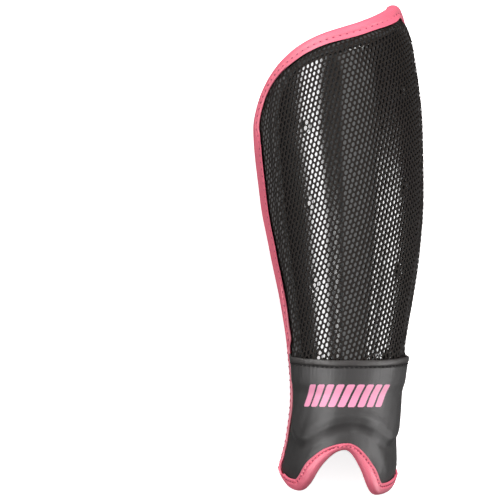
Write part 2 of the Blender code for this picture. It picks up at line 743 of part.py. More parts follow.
def main():
    clear_scene()
    guard = make_collection("shin_guard")
    cutters = make_collection("vent_cutters")
    foam_black = make_material("foam_black", (0.030, 0.029, 0.030), 0.9)
    shell_black = make_material("shell_black", (0.012, 0.012, 0.013), 0.12)
    net_black = make_material("net_black", (0.018, 0.016, 0.015), 0.75)
    cuff_black = make_material("cuff_black", (0.040, 0.037, 0.038), 0.42)
    hem_black = make_material("hem_black", (0.045, 0.042, 0.043), 0.42)
    tape_pink = make_material("tape_pink", (0.83, 0.18, 0.29), 0.6)

    add_vent_cutters(cutters)
    foam = add_foam(foam_black, guard)
    places = shell_places()
    rib = rib_height(places[..., 0], places[..., 1])
    shell = add_layer("hard_shell", places, SHELL_LIFT + rib, SHELL_THICK, shell_black, guard)
    for obj in (foam, shell):
        cut_vents(obj, cutters)
    places = upper_places()
    lift = mesh_lift(places[..., 0], places[..., 1])
    mesh = add_layer("mesh_cover", places, lift, MESH_THICK, net_black, guard)
    places = cuff_places()
    lift = cuff_lift(places[..., 0], places[..., 1])
    cuff = add_layer("ankle_cuff", places, lift, CUFF_THICK, cuff_black, guard)
    places = hem_places()
    lift = cuff_lift(places[..., 0], places[..., 1])
    hem = add_layer("cuff_hem", places, lift, HEM_THICK, hem_black, guard)
    bindings = add_bindings(tape_pink, guard)
    bpy.context.view_layer.update()
    centre_on_floor((foam, shell, mesh, cuff, hem, *bindings), "guard_frame", guard)
    # The cutters follow the frame too, so that every vent stays in place.
    for cutter in cutters.objects:
        cutter.parent = bpy.data.objects["guard_frame"]


main()
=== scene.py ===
"""A field-sports shin guard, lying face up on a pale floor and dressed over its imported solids.

Every piece is laid on one curved surface, the outer face of the foam. A place on it is
(around, along): around runs from -1 at the left edge over 0 at the ridge to 1 at the right
edge, and along is the distance in metres from the lowest leg tip. A height above that surface
is called a lift. The walls and clearances are those of the solids.
"""

import logging
import math
from dataclasses import dataclass
from enum import Enum

import bpy
import numpy as np
from mathutils import Matrix, Vector


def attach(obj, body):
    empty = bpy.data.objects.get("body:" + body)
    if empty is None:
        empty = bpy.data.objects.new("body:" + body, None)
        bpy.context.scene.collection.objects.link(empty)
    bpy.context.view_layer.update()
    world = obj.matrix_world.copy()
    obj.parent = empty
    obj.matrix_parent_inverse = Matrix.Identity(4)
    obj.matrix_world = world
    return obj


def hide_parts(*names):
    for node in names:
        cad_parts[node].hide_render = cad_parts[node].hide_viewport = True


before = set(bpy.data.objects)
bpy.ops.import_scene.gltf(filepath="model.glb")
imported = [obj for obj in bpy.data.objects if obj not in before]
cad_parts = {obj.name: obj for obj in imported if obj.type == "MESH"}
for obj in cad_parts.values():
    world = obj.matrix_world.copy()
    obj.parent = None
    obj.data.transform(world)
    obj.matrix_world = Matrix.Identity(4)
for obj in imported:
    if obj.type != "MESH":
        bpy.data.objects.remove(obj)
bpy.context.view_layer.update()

log = logging.getLogger("shin_guard")
Array = np.ndarray
MM = 0.001


def smooth(value: Array) -> Array:
    """Rises from 0 to 1 with level ends: 3v squared less 2v cubed, with v held to 0..1."""
    value = np.clip(value, 0.0, 1.0)
    return value * value * (3.0 - 2.0 * value)


def bell(value: Array, width: float) -> Array:
    """A bump of height 1 at 0: e to the power of minus (value over width) squared."""
    return np.exp(-((np.asarray(value) / width) ** 2))


def waves(x: Array, seed: int, count: int, longest: float, shortest: float) -> Array:
    """A smooth irregular line, a sum of sine waves of random length and phase.

    Args:
        x: Places along a line, in metres.
        seed: Which of the irregular lines it is.
        count: Number of sine waves.
        longest: Longest wave, in metres.
        shortest: Shortest wave, in metres.

    Returns:
        Heights, most of them between -1 and 1.
    """
    rng = np.random.default_rng(seed)
    total = np.zeros_like(np.asarray(x, float))
    for _ in range(count):
        wave = math.exp(rng.uniform(math.log(shortest), math.log(longest)))
        total += np.sin(2 * math.pi * x / wave + rng.uniform(0, 2 * math.pi))
    return total / math.sqrt(count) / 1.6


@dataclass(frozen=True)
class ShinForm:
    """The guard's own curved surface and its outline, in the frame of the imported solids.

    The table's rows hold a share of the length, the left and right half widths as shares of
    half the calf's width, the heights of ridge and edge as shares of the depth, and the ridge's
    move sideways as a share of the width.
    """

    length: float = 0.330
    width: float = 0.118
    depth: float = 0.058
    left_lean: float = math.radians(20)
    left_edge_rise: float = 0.0005
    shift: tuple[float, float, float] = (0.00029, -0.00102, 0.0)
    table: tuple[tuple[float, ...], ...] = (
        (0.000, 0.627, 0.610, 0.828, 0.000, -0.051),
        (0.030, 0.649, 0.640, 0.836, 0.000, -0.051),
        (0.060, 0.675, 0.678, 0.828, 0.000, -0.051),
        (0.112, 0.632, 0.662, 0.810, 0.052, -0.042),
        (0.194, 0.600, 0.662, 0.795, 0.138, -0.025),
        (0.303, 0.653, 0.720, 0.812, 0.185, -0.011),
        (0.394, 0.724, 0.820, 0.855, 0.150, -0.008),
        (0.500, 0.829, 0.928, 0.915, 0.065, -0.004),
        (0.606, 0.919, 0.980, 0.966, 0.000, 0.000),
        (0.758, 1.000, 0.962, 0.990, 0.000, 0.000),
        (0.909, 0.932, 0.840, 0.966, 0.026, 0.000),
        (1.000, 0.797, 0.715, 0.914, 0.052, 0.000),
    )
    top_middle: float = 0.967
    top_slope: float = 0.072
    left_shoulder: tuple[float, float] = (0.22, 0.150)
    right_shoulder: tuple[float, float] = (0.50, 0.200)
    arch: tuple[float, float] = (-0.03, 0.0310)
    left_tip: tuple[float, float] = (-0.62, 0.0028)
    right_tip: tuple[float, float] = (0.42, 0.0)
    leg_corner_rise: float = 0.0240

    def column(self, share: Array, k: int) -> Array:
        """A column of the table as a smooth curve that never swings past its points.

        Args:
            share: Places as shares of the length, 0 to 1.
            k: The column's number.

        Returns:
            The column's value at each place.
        """
        xs, ys = np.array(self.table)[:, 0], np.array(self.table)[:, k]
        step = np.diff(xs)
        slope = np.diff(ys) / step
        ends = np.zeros(len(xs))
        left, right = slope[:-1], slope[1:]
        same = left * right > 0
        ends[1:-1] = np.where(same, 2.0 * left * right / np.where(same, left + right, 1.0), 0.0)
        ends[0], ends[-1] = slope[0], slope[-1]
        i = np.clip(np.searchsorted(xs, share) - 1, 0, len(xs) - 2)
        t = (share - xs[i]) / step[i]
        bow = (1 - t) ** 2 * t * ends[i] - t**2 * (1 - t) * ends[i + 1]
        return ys[i] + (ys[i + 1] - ys[i]) * smooth(t) + step[i] * bow

    def surface(self, around: Array, along: Array) -> Array:
        """Points of the foam's outer face.

        Each section is a quarter ellipse on the right: x is the half width times the sine of the
        turn plus the ridge's move times its cosine, and z goes from edge to ridge height with the
        cosine. On the left the turn stops short of a quarter by the lean, and sine and cosine are
        scaled to run from 0 to 1 over what is left of it.

        Args:
            around: Around numbers of the places.
            along: Their distances in metres from the lowest leg tip.

        Returns:
            Points in the scene's frame, in metres.
        """
        share = np.clip(along / self.length, 0.0, 1.0)
        left, right, ridge, edge, move = (self.column(share, k) for k in range(1, 6))
        lean = np.where(around < 0, self.left_lean, 0.0)
        edge = edge + np.where(around < 0, self.left_edge_rise / self.depth, 0.0)
        turn = around * math.pi / 2 + lean * around * around
        half = np.where(around < 0, left, right) * self.width / 2
        fall = (np.cos(turn) - np.sin(lean)) / (1.0 - np.sin(lean))
        x = half * np.sin(turn) / np.cos(lean) + move * self.width * fall
        z = self.depth * (edge + (ridge - edge) * fall)
        return np.stack([x, along - self.length / 2, z], axis=-1) + np.array(self.shift)

    def slopes(self, around: Array, along: Array) -> tuple[Array, Array]:
        """How the surface moves for a small step around it and along it.

        Args:
            around: Around numbers of the places.
            along: Their distances in metres from the lowest leg tip.

        Returns:
            The two slopes at each place, in metres for one unit.
        """
        tiny = 1e-5
        by_around = self.surface(around + tiny, along) - self.surface(around - tiny, along)
        by_along = self.surface(around, along + tiny) - self.surface(around, along - tiny)
        return by_around / (2 * tiny), by_along / (2 * tiny)

    def normals(self, around: Array, along: Array) -> Array:
        """Unit directions out of the surface: the cross product of its two slopes."""
        normal = np.cross(*self.slopes(around, along))
        return normal / np.linalg.norm(normal, axis=-1, keepdims=True)

    def lifted(self, around: Array, along: Array, lift: Array | float) -> Array:
        """Points at a lift above the surface, along its normals."""
        lift = np.broadcast_to(np.asarray(lift, float), np.shape(around))
        return self.surface(around, along) + self.normals(around, along) * lift[..., None]

    @staticmethod
    def corner_drop(around: Array, start: Array | float, end: float, drop: Array | float) -> Array:
        """The quarter ellipse by which a corner between start and end falls away."""
        k = np.clip((np.abs(around) - start) / (end - start), 0.0, 1.0)
        return drop * (1.0 - np.sqrt(1.0 - k * k))

    def top_edge(self, around: Array) -> Array:
        """The slanted top edge, a straight line less a quarter ellipse at each shoulder.

        Args:
            around: Around numbers of the places.

        Returns:
            Its distance in metres from the lowest leg tip.
        """
        line = (self.top_middle + self.top_slope * around) * self.length
        start = np.where(around < 0, self.left_shoulder[0], self.right_shoulder[0])
        drop = np.where(around < 0, self.left_shoulder[1], self.right_shoulder[1]) * self.length
        return line - self.corner_drop(around, start, 1.0, drop)

    def foot_edge(self, around: Array) -> Array:
        """The lower edge: a cosine arch from tip to tip, and a rounded corner outside each.

        Args:
            around: Around numbers of the places.

        Returns:
            Its distance in metres from the lowest leg tip.
        """
        on_left = around < self.arch[0]
        tip = np.where(on_left, self.left_tip[0], self.right_tip[0])
        tip_along = np.where(on_left, self.left_tip[1], self.right_tip[1])
        k = np.clip((around - self.arch[0]) / (tip - self.arch[0]), 0.0, 1.0)
        arch = (self.arch[1] - tip_along) * (1.0 + np.cos(math.pi * k)) / 2
        return tip_along + arch + self.corner_drop(around, np.abs(tip), 1.0, self.leg_corner_rise)

    def around_at(self, arc: Array, along: Array) -> Array:
        """Turns a distance round the front, from the ridge, into the around number.

        The girth of each side is summed from chords at 67 heights. The distance is taken as a
        share of the girth at its own height, and that share is read from the heights' mean sum.

        Args:
            arc: Distances round the front from the ridge, in metres, negative to the left.
            along: Their distances in metres from the lowest leg tip.

        Returns:
            The around numbers, past 1 or -1 where the cloth ends.
        """
        steps, heights = np.linspace(0.0, 1.0, 81), np.linspace(0.0, self.length, 67)
        grid_a, grid_s = np.meshgrid(steps, heights)
        result = np.zeros(np.broadcast(arc, along).shape)
        row = np.clip(along / self.length * (len(heights) - 1), 0, len(heights) - 1.001)
        low, part = row.astype(int), row - row.astype(int)
        for side in (-1.0, 1.0):
            points = self.surface(grid_a * side, grid_s)
            chords = np.linalg.norm(np.diff(points, axis=1), axis=2)
            sums = np.concatenate([np.zeros((len(heights), 1)), np.cumsum(chords, axis=1)], axis=1)
            share = np.abs(arc) / (sums[low, -1] * (1 - part) + sums[low + 1, -1] * part)
            mean = (sums / sums[:, -1:]).mean(axis=0)
            found = np.interp(share, mean, steps) + np.maximum(share - 1.0, 0.0)
            result = np.where(np.sign(arc) == side, side * found, result)
        return result


FORM = ShinForm()


class Outline:
    """The guard's edge as one closed loop, with what changes along it."""

    steps = 240
    seam = 0.003

    def __init__(self, form: ShinForm) -> None:
        """Lays the loop from the top middle down the left side, over the arch and up again.

        Args:
            form: The guard's surface.
        """
        self.form = form
        k = np.linspace(0.0, 1.0, self.steps)
        to_left, across = -np.sin(k * math.pi / 2), -np.cos(k * math.pi)
        left, right = np.full_like(k, -1.0), np.full_like(k, 1.0)
        highs = form.top_edge(left)[0], form.top_edge(right)[0]
        lows = form.foot_edge(left)[0], form.foot_edge(right)[0]
        parts = (
            (to_left, form.top_edge(to_left)),
            (left, highs[0] + (lows[0] - highs[0]) * k),
            (across, form.foot_edge(across)),
            (right, lows[1] + (highs[1] - lows[1]) * k),
            (-to_left[::-1], form.top_edge(-to_left[::-1])),
        )
        self.loop = np.concatenate([np.stack(part, axis=1)[:-1] for part in parts])
        self.points = form.surface(self.loop[:, 0], self.loop[:, 1])
        gaps = np.linalg.norm(np.diff(self.points, axis=0, append=self.points[:1]), axis=1)
        self.length = np.concatenate([[0.0], np.cumsum(gaps[:-1])])
        self.total = float(gaps.sum())
        self.into = self._inward()
        foot = np.arange(2 * (self.steps - 1), 3 * (self.steps - 1))
        half = math.sqrt(0.5)
        left_tip, right_tip = form.left_tip[0], form.right_tip[0]
        seams = left_tip - (1 + left_tip) * half, right_tip + (1 - right_tip) * half
        found = foot[np.searchsorted(self.loop[foot, 0], seams)]
        self.arch_start, self.arch_end = self.length[found]
        beyond = np.maximum(self.arch_start - self.length, self.length - self.arch_end)
        self.beyond = np.maximum(beyond, 0.0)
        self.fat = 1.0 - smooth((self.beyond - 0.006) / 0.012)
        self.by_foot = 1.0 - smooth(self.beyond / self.seam)

    def _inward(self) -> Array:
        """The step in (around, along) that moves each loop point one metre into the guard.

        Returns:
            One step for each point of the loop.
        """
        tangent = np.roll(self.points, -1, axis=0) - np.roll(self.points, 1, axis=0)
        slopes = self.form.slopes(self.loop[:, 0], self.loop[:, 1])
        into = np.cross(np.cross(*slopes), tangent)
        into /= np.linalg.norm(into, axis=1, keepdims=True)
        return np.stack([(into * by).sum(1) / (by * by).sum(1) for by in slopes], axis=1)

    def inset(self, distance: Array | float) -> Array:
        """The loop moved into the guard by one distance, or by one for each point."""
        return self.loop + self.into * (np.zeros(len(self.loop)) + distance)[:, None]

    def read(self, values: Array, at: Array) -> Array:
        """Values of the loop's points, read at distances along it; they may pass its end."""
        closed = np.append(self.length, self.total)
        return np.interp(np.asarray(at) % self.total, closed, np.append(values, values[0]))

    def part(self, loop: Array, start: float, end: float) -> Array:
        """The loop's points between two distances along it, the first one at start.

        Args:
            loop: The loop, or an inset copy of it, as (around, along) rows.
            start: Where it starts, as a distance along the outline.
            end: Where it ends, as a distance along the outline.

        Returns:
            The rows between the two distances.
        """
        ends = [[np.interp(at, self.length, loop[:, c]) for c in (0, 1)] for at in (start, end)]
        keep = (self.length > start + 1e-5) & (self.length < end - 1e-5)
        return np.concatenate([[ends[0]], loop[keep], [ends[1]]])

    def at_height(self, side: int, along: float) -> float:
        """Distance along the loop where its left or right side passes a height.

        Args:
            side: -1 for the left side, 1 for the right one.
            along: The height, in metres from the lowest leg tip.

        Returns:
            The distance along the loop.
        """
        on_side = (self.length <= self.arch_start) if side < 0 else (self.length >= self.arch_end)
        on_side &= np.abs(self.loop[:, 0] - side) < 1e-5
        heights, lengths = self.loop[on_side, 1], self.length[on_side]
        order = np.argsort(heights)
        return float(np.interp(along, heights[order], lengths[order]))

    def shoulder(self, side: int) -> float:
        """Distance along the loop to the middle of a shoulder's curve.

        Args:
            side: -1 for the left side, 1 for the right one.

        Returns:
            The distance along the loop.
        """
        start = (self.form.left_shoulder if side < 0 else self.form.right_shoulder)[0]
        around = side * (start + (1 - start) * math.sqrt(0.5))
        upper = self.loop[:, 1] > self.form.length / 2
        return float(self.length[np.where(upper, np.abs(self.loop[:, 0] - around), 9.0).argmin()])

    def spaced(self, border: Array, shares: Array) -> Array:
        """Rows along a border at shares of its length.

        Args:
            border: The border's (around, along) rows.
            shares: Shares of its length, 0 to 1.

        Returns:
            One (around, along) row for each share.
        """
        points = self.form.surface(border[:, 0], border[:, 1])
        steps = np.linalg.norm(np.diff(points, axis=0), axis=1)
        at = np.concatenate([[0.0], np.cumsum(steps)])
        return np.stack([np.interp(shares * at[-1], at, border[:, c]) for c in (0, 1)], axis=1)


OUTLINE = Outline(FORM)


@dataclass(frozen=True)
class Layers:
    """Lifts and borders of every layer, as in the solids.

    The fields rib_shown, groove_shown and net_slack are the scene's own: the ridge and its
    grooves as the highlights show them, and how far the net draws in beside the ridge.
    """

    gap: float = 0.35 * MM
    foam: float = 4.5 * MM
    flange: float = 2.0 * MM
    arch_foam: float = 2.5 * MM
    flange_width: float = 7.5 * MM
    flange_ramp: float = 5.0 * MM
    cuff_lead: float = 2.0 * MM
    cuff_slack: float = 0.4 * MM
    slot_gap: float = 0.7 * MM
    shell: float = 2.0 * MM
    shell_around: float = 0.62
    shell_margin: float = 15.0 * MM
    shell_arch: tuple[float, float] = (54.0 * MM, 18.0 * MM)
    shell_corner: tuple[float, float] = (0.40, 16.0 * MM)
    rib: float = 0.9 * MM
    rib_shown: float = 0.6 * MM
    groove: float = 0.5 * MM
    groove_shown: float = 0.15 * MM
    net_slack: float = 0.8 * MM
    rib_around: tuple[float, float, float] = (0.090, 0.200, 0.300)
    rib_fade: float = 22.0 * MM
    fill_start: float = 1.5 * MM
    fill_ramp: float = 2.5 * MM
    fill_above: tuple[float, float] = (78.0 * MM, 4.0 * MM)
    slack_above: tuple[float, float] = (0.5 * MM, 6.0 * MM)
    cover_hold: float = 4.0 * MM
    cover_ramp: float = 8.0 * MM
    net: float = 1.0 * MM
    cuff: float = 1.2 * MM
    hem_along: float = 91.9 * MM
    hem_rise: float = 5.0 * MM
    hem_width: float = 6.0 * MM
    tuck: float = 13.0 * MM
    tuck_hold: float = 3.0 * MM
    tuck_ramp: float = 9.0 * MM

    @property
    def dip(self) -> float:
        """How far the flange lies under the foam's face."""
        return self.foam - self.flange

    @property
    def shell_lift(self) -> float:
        """The shell's inner face."""
        return self.gap + self.groove

    @property
    def cover_step(self) -> float:
        """How far the shell lifts the cloth over it."""
        return self.shell_lift + self.shell + self.rib

    def shell_top(self, around: Array) -> Array:
        """The shell's upper border, an even margin under the guard's slanted top edge.

        Args:
            around: Around numbers of the places.

        Returns:
            The border's distance in metres from the lowest leg tip.
        """
        tiny = 1e-5
        run = np.linalg.norm(FORM.slopes(around, FORM.top_edge(around))[0], axis=-1)
        slant = (FORM.top_edge(around + tiny) - FORM.top_edge(around - tiny)) / (2 * tiny) / run
        margin = self.shell_margin * np.sqrt(1.0 + slant * slant)
        return FORM.top_edge(around) - margin - self.corners(around)

    def shell_low(self, around: Array) -> Array:
        """The shell's lower border, an arch of its own over the instep."""
        arch = self.shell_arch[1] * (1.0 - np.cos(math.pi / 2 * around / self.shell_around))
        return self.shell_arch[0] - arch + self.corners(around)

    def corners(self, around: Array) -> Array:
        """How far the shell's border falls away at its rounded corners."""
        start, drop = self.shell_corner
        return FORM.corner_drop(around, start, self.shell_around, drop)

    def rib_height(self, around: Array, along: Array) -> Array:
        """The shell's raised ridge with a groove at each foot, fading out at both ends.

        Args:
            around: Around numbers of the places.
            along: Their distances in metres from the lowest leg tip.

        Returns:
            Heights above the shell's plain face, in metres.
        """
        half, foot, end = self.rib_around
        across = np.abs(around)
        flank = smooth((across - half) / (foot - half))
        groove = flank * (1.0 - smooth((across - foot) / (end - foot)))
        top = 1.0 - flank
        room = np.minimum(self.shell_top(around) - along, along - self.shell_low(around))
        return (self.rib_shown * top - self.groove_shown * groove) * smooth(room / self.rib_fade)

    def hem(self, around: Array) -> Array:
        """The cuff's top line, a little higher at the sides."""
        return self.hem_along + self.hem_rise * around * around


LAYERS = Layers()


class Distances:
    """Tables over the whole surface, read between their points.

    They hold the distance to the outline, how fat the binding is at the nearest edge, and the
    distance outside the shell's border, which is negative within it.
    """

    columns = 181
    rows = 301

    def __init__(self) -> None:
        """Fills the table, a few thousand places at a time."""
        self.around = np.linspace(-1.0, 1.0, self.columns)
        self.along = np.linspace(0.0, FORM.length * 1.01, self.rows)
        around, along = np.meshgrid(self.around, self.along)
        places = FORM.surface(around, along).reshape(-1, 3)
        edge, nearest = self._nearest(places, OUTLINE.points[::2])
        shell, _ = self._nearest(places, self._shell_border())
        inside = np.abs(around) <= LAYERS.shell_around
        inside &= (along <= LAYERS.shell_top(around)) & (along >= LAYERS.shell_low(around))
        self.edge = edge.reshape(around.shape)
        self.fat = OUTLINE.fat[::2][nearest].reshape(around.shape)
        self.shell = np.where(inside, -shell.reshape(around.shape), shell.reshape(around.shape))

    @staticmethod
    def _shell_border() -> Array:
        """Points all round the shell's border.

        Returns:
            The border's points, one row each.
        """
        side = LAYERS.shell_around
        around = np.linspace(-side, side, 160)
        high, low = LAYERS.shell_top(around), LAYERS.shell_low(around)
        k = np.linspace(0.0, 1.0, 160)
        parts = [FORM.surface(around, high), FORM.surface(around, low)]
        for at, end in ((-side, 0), (side, -1)):
            parts.append(FORM.surface(np.full_like(k, at), low[end] + (high[end] - low[end]) * k))
        return np.concatenate(parts)

    @staticmethod
    def _nearest(places: Array, line: Array) -> tuple[Array, Array]:
        """Distance from each place to the nearest point of a line, and which point it is.

        Args:
            places: The places, one row each.
            line: Points of the line, one row each.

        Returns:
            The distances in metres, and the point's number for each place.
        """
        square = (line * line).sum(axis=1)
        best, index = np.empty(len(places)), np.empty(len(places), int)
        for i in range(0, len(places), 8000):
            part = places[i : i + 8000]
            gaps = square[None] - 2 * part @ line.T
            index[i : i + 8000] = gaps.argmin(axis=1)
            best[i : i + 8000] = gaps.min(axis=1) + (part * part).sum(axis=1)
        return np.sqrt(np.maximum(best, 0.0)), index

    def read(self, table: Array, around: Array, along: Array) -> Array:
        """A table's value between its four nearest points, weighted by nearness.

        Args:
            table: The table to read.
            around: Around numbers of the places.
            along: Their distances in metres from the lowest leg tip.

        Returns:
            The table's values.
        """
        c = np.clip((np.asarray(around) + 1) / 2 * (self.columns - 1), 0, self.columns - 1.001)
        r = np.clip(np.asarray(along) / self.along[-1] * (self.rows - 1), 0, self.rows - 1.001)
        i, j = c.astype(int), r.astype(int)
        u, v = c - i, r - j
        low = table[j, i] * (1 - u) + table[j, i + 1] * u
        high = table[j + 1, i] * (1 - u) + table[j + 1, i + 1] * u
        return low * (1 - v) + high * v

    def over_shell(self, around: Array, along: Array) -> Array:
        """1 on the shell and just past its border, falling to 0 beyond its slope."""
        gap = np.maximum(self.read(self.shell, around, along), 0.0)
        return 1.0 - smooth((gap - LAYERS.cover_hold) / LAYERS.cover_ramp)

    def foam_lifts(self, around: Array, along: Array, lead: float = 0.0) -> tuple[Array, Array]:
        """The foam's inner and outer lift, with the flange's dip and the thin arch edge.

        Args:
            around: Around numbers of the places.
            along: Their distances in metres from the lowest leg tip.
            lead: How much nearer the guard's middle the places count, in metres.

        Returns:
            The two lifts in metres.
        """
        distance = self.read(self.edge, around, along) + lead
        fat = self.read(self.fat, around, along)
        at_edge = 1.0 - smooth((distance - LAYERS.flange_width) / LAYERS.flange_ramp)
        thin = (LAYERS.foam - LAYERS.arch_foam) * fat * at_edge
        return -LAYERS.foam + thin, -LAYERS.dip * (1.0 - fat) * at_edge

    def slope_fill(self, around: Array, along: Array) -> Array:
        """How far the foam stands up beside the shell, so that the net lies on it there.

        Args:
            around: Around numbers of the places.
            along: Their distances in metres from the lowest leg tip.

        Returns:
            Heights above the foam's face, in metres.
        """
        outside = self.read(self.shell, around, along)
        room = self.net_lift(around, along) - self.slack(around, along) - LAYERS.gap
        start, ramp = LAYERS.fill_above
        above_cuff = smooth((along - start) / ramp)
        beside = smooth((outside - LAYERS.fill_start) / LAYERS.fill_ramp)
        return (room - self.foam_lifts(around, along)[1]) * above_cuff * beside

    def slack(self, around: Array, along: Array) -> Array:
        """How far the net draws in beside the shell's ridge, so that it lies close to the shell.

        Args:
            around: Around numbers of the places.
            along: Their distances in metres from the lowest leg tip.

        Returns:
            Depths below the stretched net, in metres.
        """
        half, foot, _ = LAYERS.rib_around
        beside = smooth((np.abs(around) - half) / (foot - half))
        start, ramp = LAYERS.slack_above
        above_cuff = smooth((along - LAYERS.hem(around) - start) / ramp)
        return LAYERS.net_slack * beside * above_cuff * self.over_shell(around, along)

    def net_lift(self, around: Array, along: Array, lead: float = 0.0) -> Array:
        """The inner face of the net: over the foam, and stretched over the shell.

        Args:
            around: Around numbers of the places.
            along: Their distances in metres from the lowest leg tip.
            lead: How much nearer the guard's middle the places count, in metres.

        Returns:
            The lift in metres.
        """
        distance = self.read(self.edge, around, along) + lead
        off_edge = smooth((distance - LAYERS.flange_width) / LAYERS.flange_ramp)
        step = LAYERS.cover_step * self.over_shell(around, along) * off_edge
        return self.foam_lifts(around, along, lead)[1] + LAYERS.gap + step


DISTANCES = Distances()


def grid_faces(rows: int, columns: int) -> Array:
    """Quads of a grid of points, counted row by row, facing the side its columns turn from.

    Args:
        rows: Number of rows.
        columns: Number of points in a row.

    Returns:
        Four vertex numbers for each face.
    """
    index = np.arange(rows * columns).reshape(rows, columns)
    corners = (index[:-1, :-1], index[:-1, 1:], index[1:, 1:], index[1:, :-1])
    return np.stack(corners, axis=2).reshape(-1, 4)


def new_piece(
    name: str, points: Array, faces: list[Array], uv: Array | None = None, sharp: float = 45.0
) -> bpy.types.Object:
    """A smooth-shaded mesh object at the origin.

    Args:
        name: The object's name.
        points: Vertex places, one row each.
        faces: Rows of vertex numbers; the arrays may differ in their count of corners.
        uv: A pattern place for each vertex, in metres, or none.
        sharp: Edges that turn by more than this many degrees stay sharp.

    Returns:
        The object, linked to the scene.
    """
    mesh = bpy.data.meshes.new(name)
    rows = [row for group in faces for row in np.asarray(group).tolist()]
    mesh.from_pydata(points.reshape(-1, 3).tolist(), [], rows)
    if uv is not None:
        layer = mesh.uv_layers.new(name="cloth")
        corner = np.empty(len(mesh.loops), np.int32)
        mesh.loops.foreach_get("vertex_index", corner)
        layer.data.foreach_set("uv", uv.reshape(-1, 2)[corner].astype(np.float32).ravel())
    mesh.update()
    mesh.shade_smooth()
    mesh.set_sharp_from_angle(angle=math.radians(sharp))
    obj = bpy.data.objects.new(name, mesh)
    bpy.context.scene.collection.objects.link(obj)
    return obj


def slab(name: str, outer: Array, inner: Array, uv: Array | None = None) -> bpy.types.Object:
    """A closed sheet between two grids of points, its rim walled all round.

    Args:
        name: The object's name.
        outer: Points of the outer face, by row and column.
        inner: Points of the inner face, in the same order.
        uv: A pattern place for each point of the grid, or none.

    Returns:
        The object.
    """
    rows, columns = outer.shape[:2]
    count = rows * columns
    index = np.arange(count).reshape(rows, columns)
    front = grid_faces(rows, columns)
    sides = (index[0, :-1], index[:-1, -1], index[-1, :0:-1], index[:0:-1, 0])
    rim = np.concatenate(sides)
    after = np.roll(rim, -1)
    wall = np.stack([after, rim, rim + count, after + count], axis=1)
    points = np.concatenate([outer.reshape(-1, 3), inner.reshape(-1, 3)])
    both = None if uv is None else np.concatenate([uv.reshape(-1, 2)] * 2)
    return new_piece(name, points, [front, front[:, ::-1] + count, wall], both)


def sweep(name: str, rings: Array, uv: Array | None = None, sharp: float = 50.0) -> bpy.types.Object:
    """A profile carried along a path, closed round the profile and capped at both ends.

    Args:
        name: The object's name.
        rings: Points by station and by place on the profile.
        uv: A pattern place for each point, or none.
        sharp: Edges that turn by more than this many degrees stay sharp.

    Returns:
        The object, its faces turned outwards by the sign of its volume.
    """
    stations, count = rings.shape[:2]
    index = np.arange(stations * count).reshape(stations, count)
    turned = np.roll(index, -1, axis=1)
    quads = np.stack([index[:-1], turned[:-1], turned[1:], index[1:]], axis=2).reshape(-1, 4)
    caps = [index[:1, ::-1], index[-1:]]
    points = rings.reshape(-1, 3)
    a, b, c, d = (points[quads[:, k]] for k in range(4))
    volume = (np.cross(b - a, c - a) * a).sum() + (np.cross(c - a, d - a) * a).sum()
    if volume < 0:
        quads, caps = quads[:, ::-1], [cap[:, ::-1] for cap in caps]
    return new_piece(name, points, [quads, *caps], uv, sharp)


def coons(foot: Array, top: Array, left: Array, right: Array) -> Array:
    """A grid of places that fills four borders.

    Each place is the mean of the two borders across plus the mean of the two up, by nearness,
    less the mean of the four corners.

    Args:
        foot: The lower border's rows, from left to right.
        top: The upper border's rows, from left to right.
        left: The left border's rows, upwards.
        right: The right border's rows, upwards.

    Returns:
        The grid's rows of places.
    """
    u = np.linspace(0.0, 1.0, len(foot))[None, :, None]
    v = np.linspace(0.0, 1.0, len(left))[:, None, None]
    between = (1 - v) * foot[None] + v * top[None]
    sides = (1 - u) * left[:, None] + u * right[:, None]
    corners = (1 - v) * ((1 - u) * foot[0] + u * foot[-1]) + v * ((1 - u) * top[0] + u * top[-1])
    return between + sides - corners


def freeze(obj: bpy.types.Object) -> None:
    """Turns an object's modifiers into its mesh.

    Args:
        obj: The object.
    """
    bpy.context.view_layer.update()
    mesh = bpy.data.meshes.new_from_object(obj.evaluated_get(bpy.context.evaluated_depsgraph_get()))
    obj.modifiers.clear()
    obj.data = mesh


def linear(colour: str) -> tuple[float, float, float, float]:
    """Turns an sRGB hex value into the linear colour that the shaders take."""
    parts = [int(colour[i : i + 2], 16) / 255 for i in (1, 3, 5)]
    return (*(p / 12.92 if p <= 0.04045 else ((p + 0.055) / 1.055) ** 2.4 for p in parts), 1.0)


def add_node(
    tree: bpy.types.NodeTree, kind: str, settings: dict, links: dict | None = None
) -> bpy.types.Node:
    """Adds a node to a tree.

    Args:
        tree: The material's node tree.
        kind: The node's type name.
        settings: Values for its inputs, by name or number, or for its own properties.
        links: Output sockets for its inputs, by the input's name or number.

    Returns:
        The node.
    """
    node = tree.nodes.new(kind)
    for key, value in settings.items():
        if isinstance(key, int) or key in node.inputs:
            node.inputs[key].default_value = value
        else:
            setattr(node, key, value)
    for key, socket in (links or {}).items():
        tree.links.new(socket, node.inputs[key])
    return node


def new_material(
    name: str, colour: str, settings: dict[str, float]
) -> tuple[bpy.types.Material, bpy.types.NodeTree, bpy.types.Node]:
    """A Principled material of one colour, with its tree and shader to add to.

    Args:
        name: The material's name.
        colour: Its base colour, as sRGB hex.
        settings: Values of the shader's inputs, by name.

    Returns:
        The material, its node tree and its shader node.
    """
    material = bpy.data.materials.new(name)
    material.use_nodes = True
    tree = material.node_tree
    shader = tree.nodes["Principled BSDF"]
    shader.inputs["Base Color"].default_value = linear(colour)
    for key, value in settings.items():
        shader.inputs[key].default_value = value
    return material, tree, shader


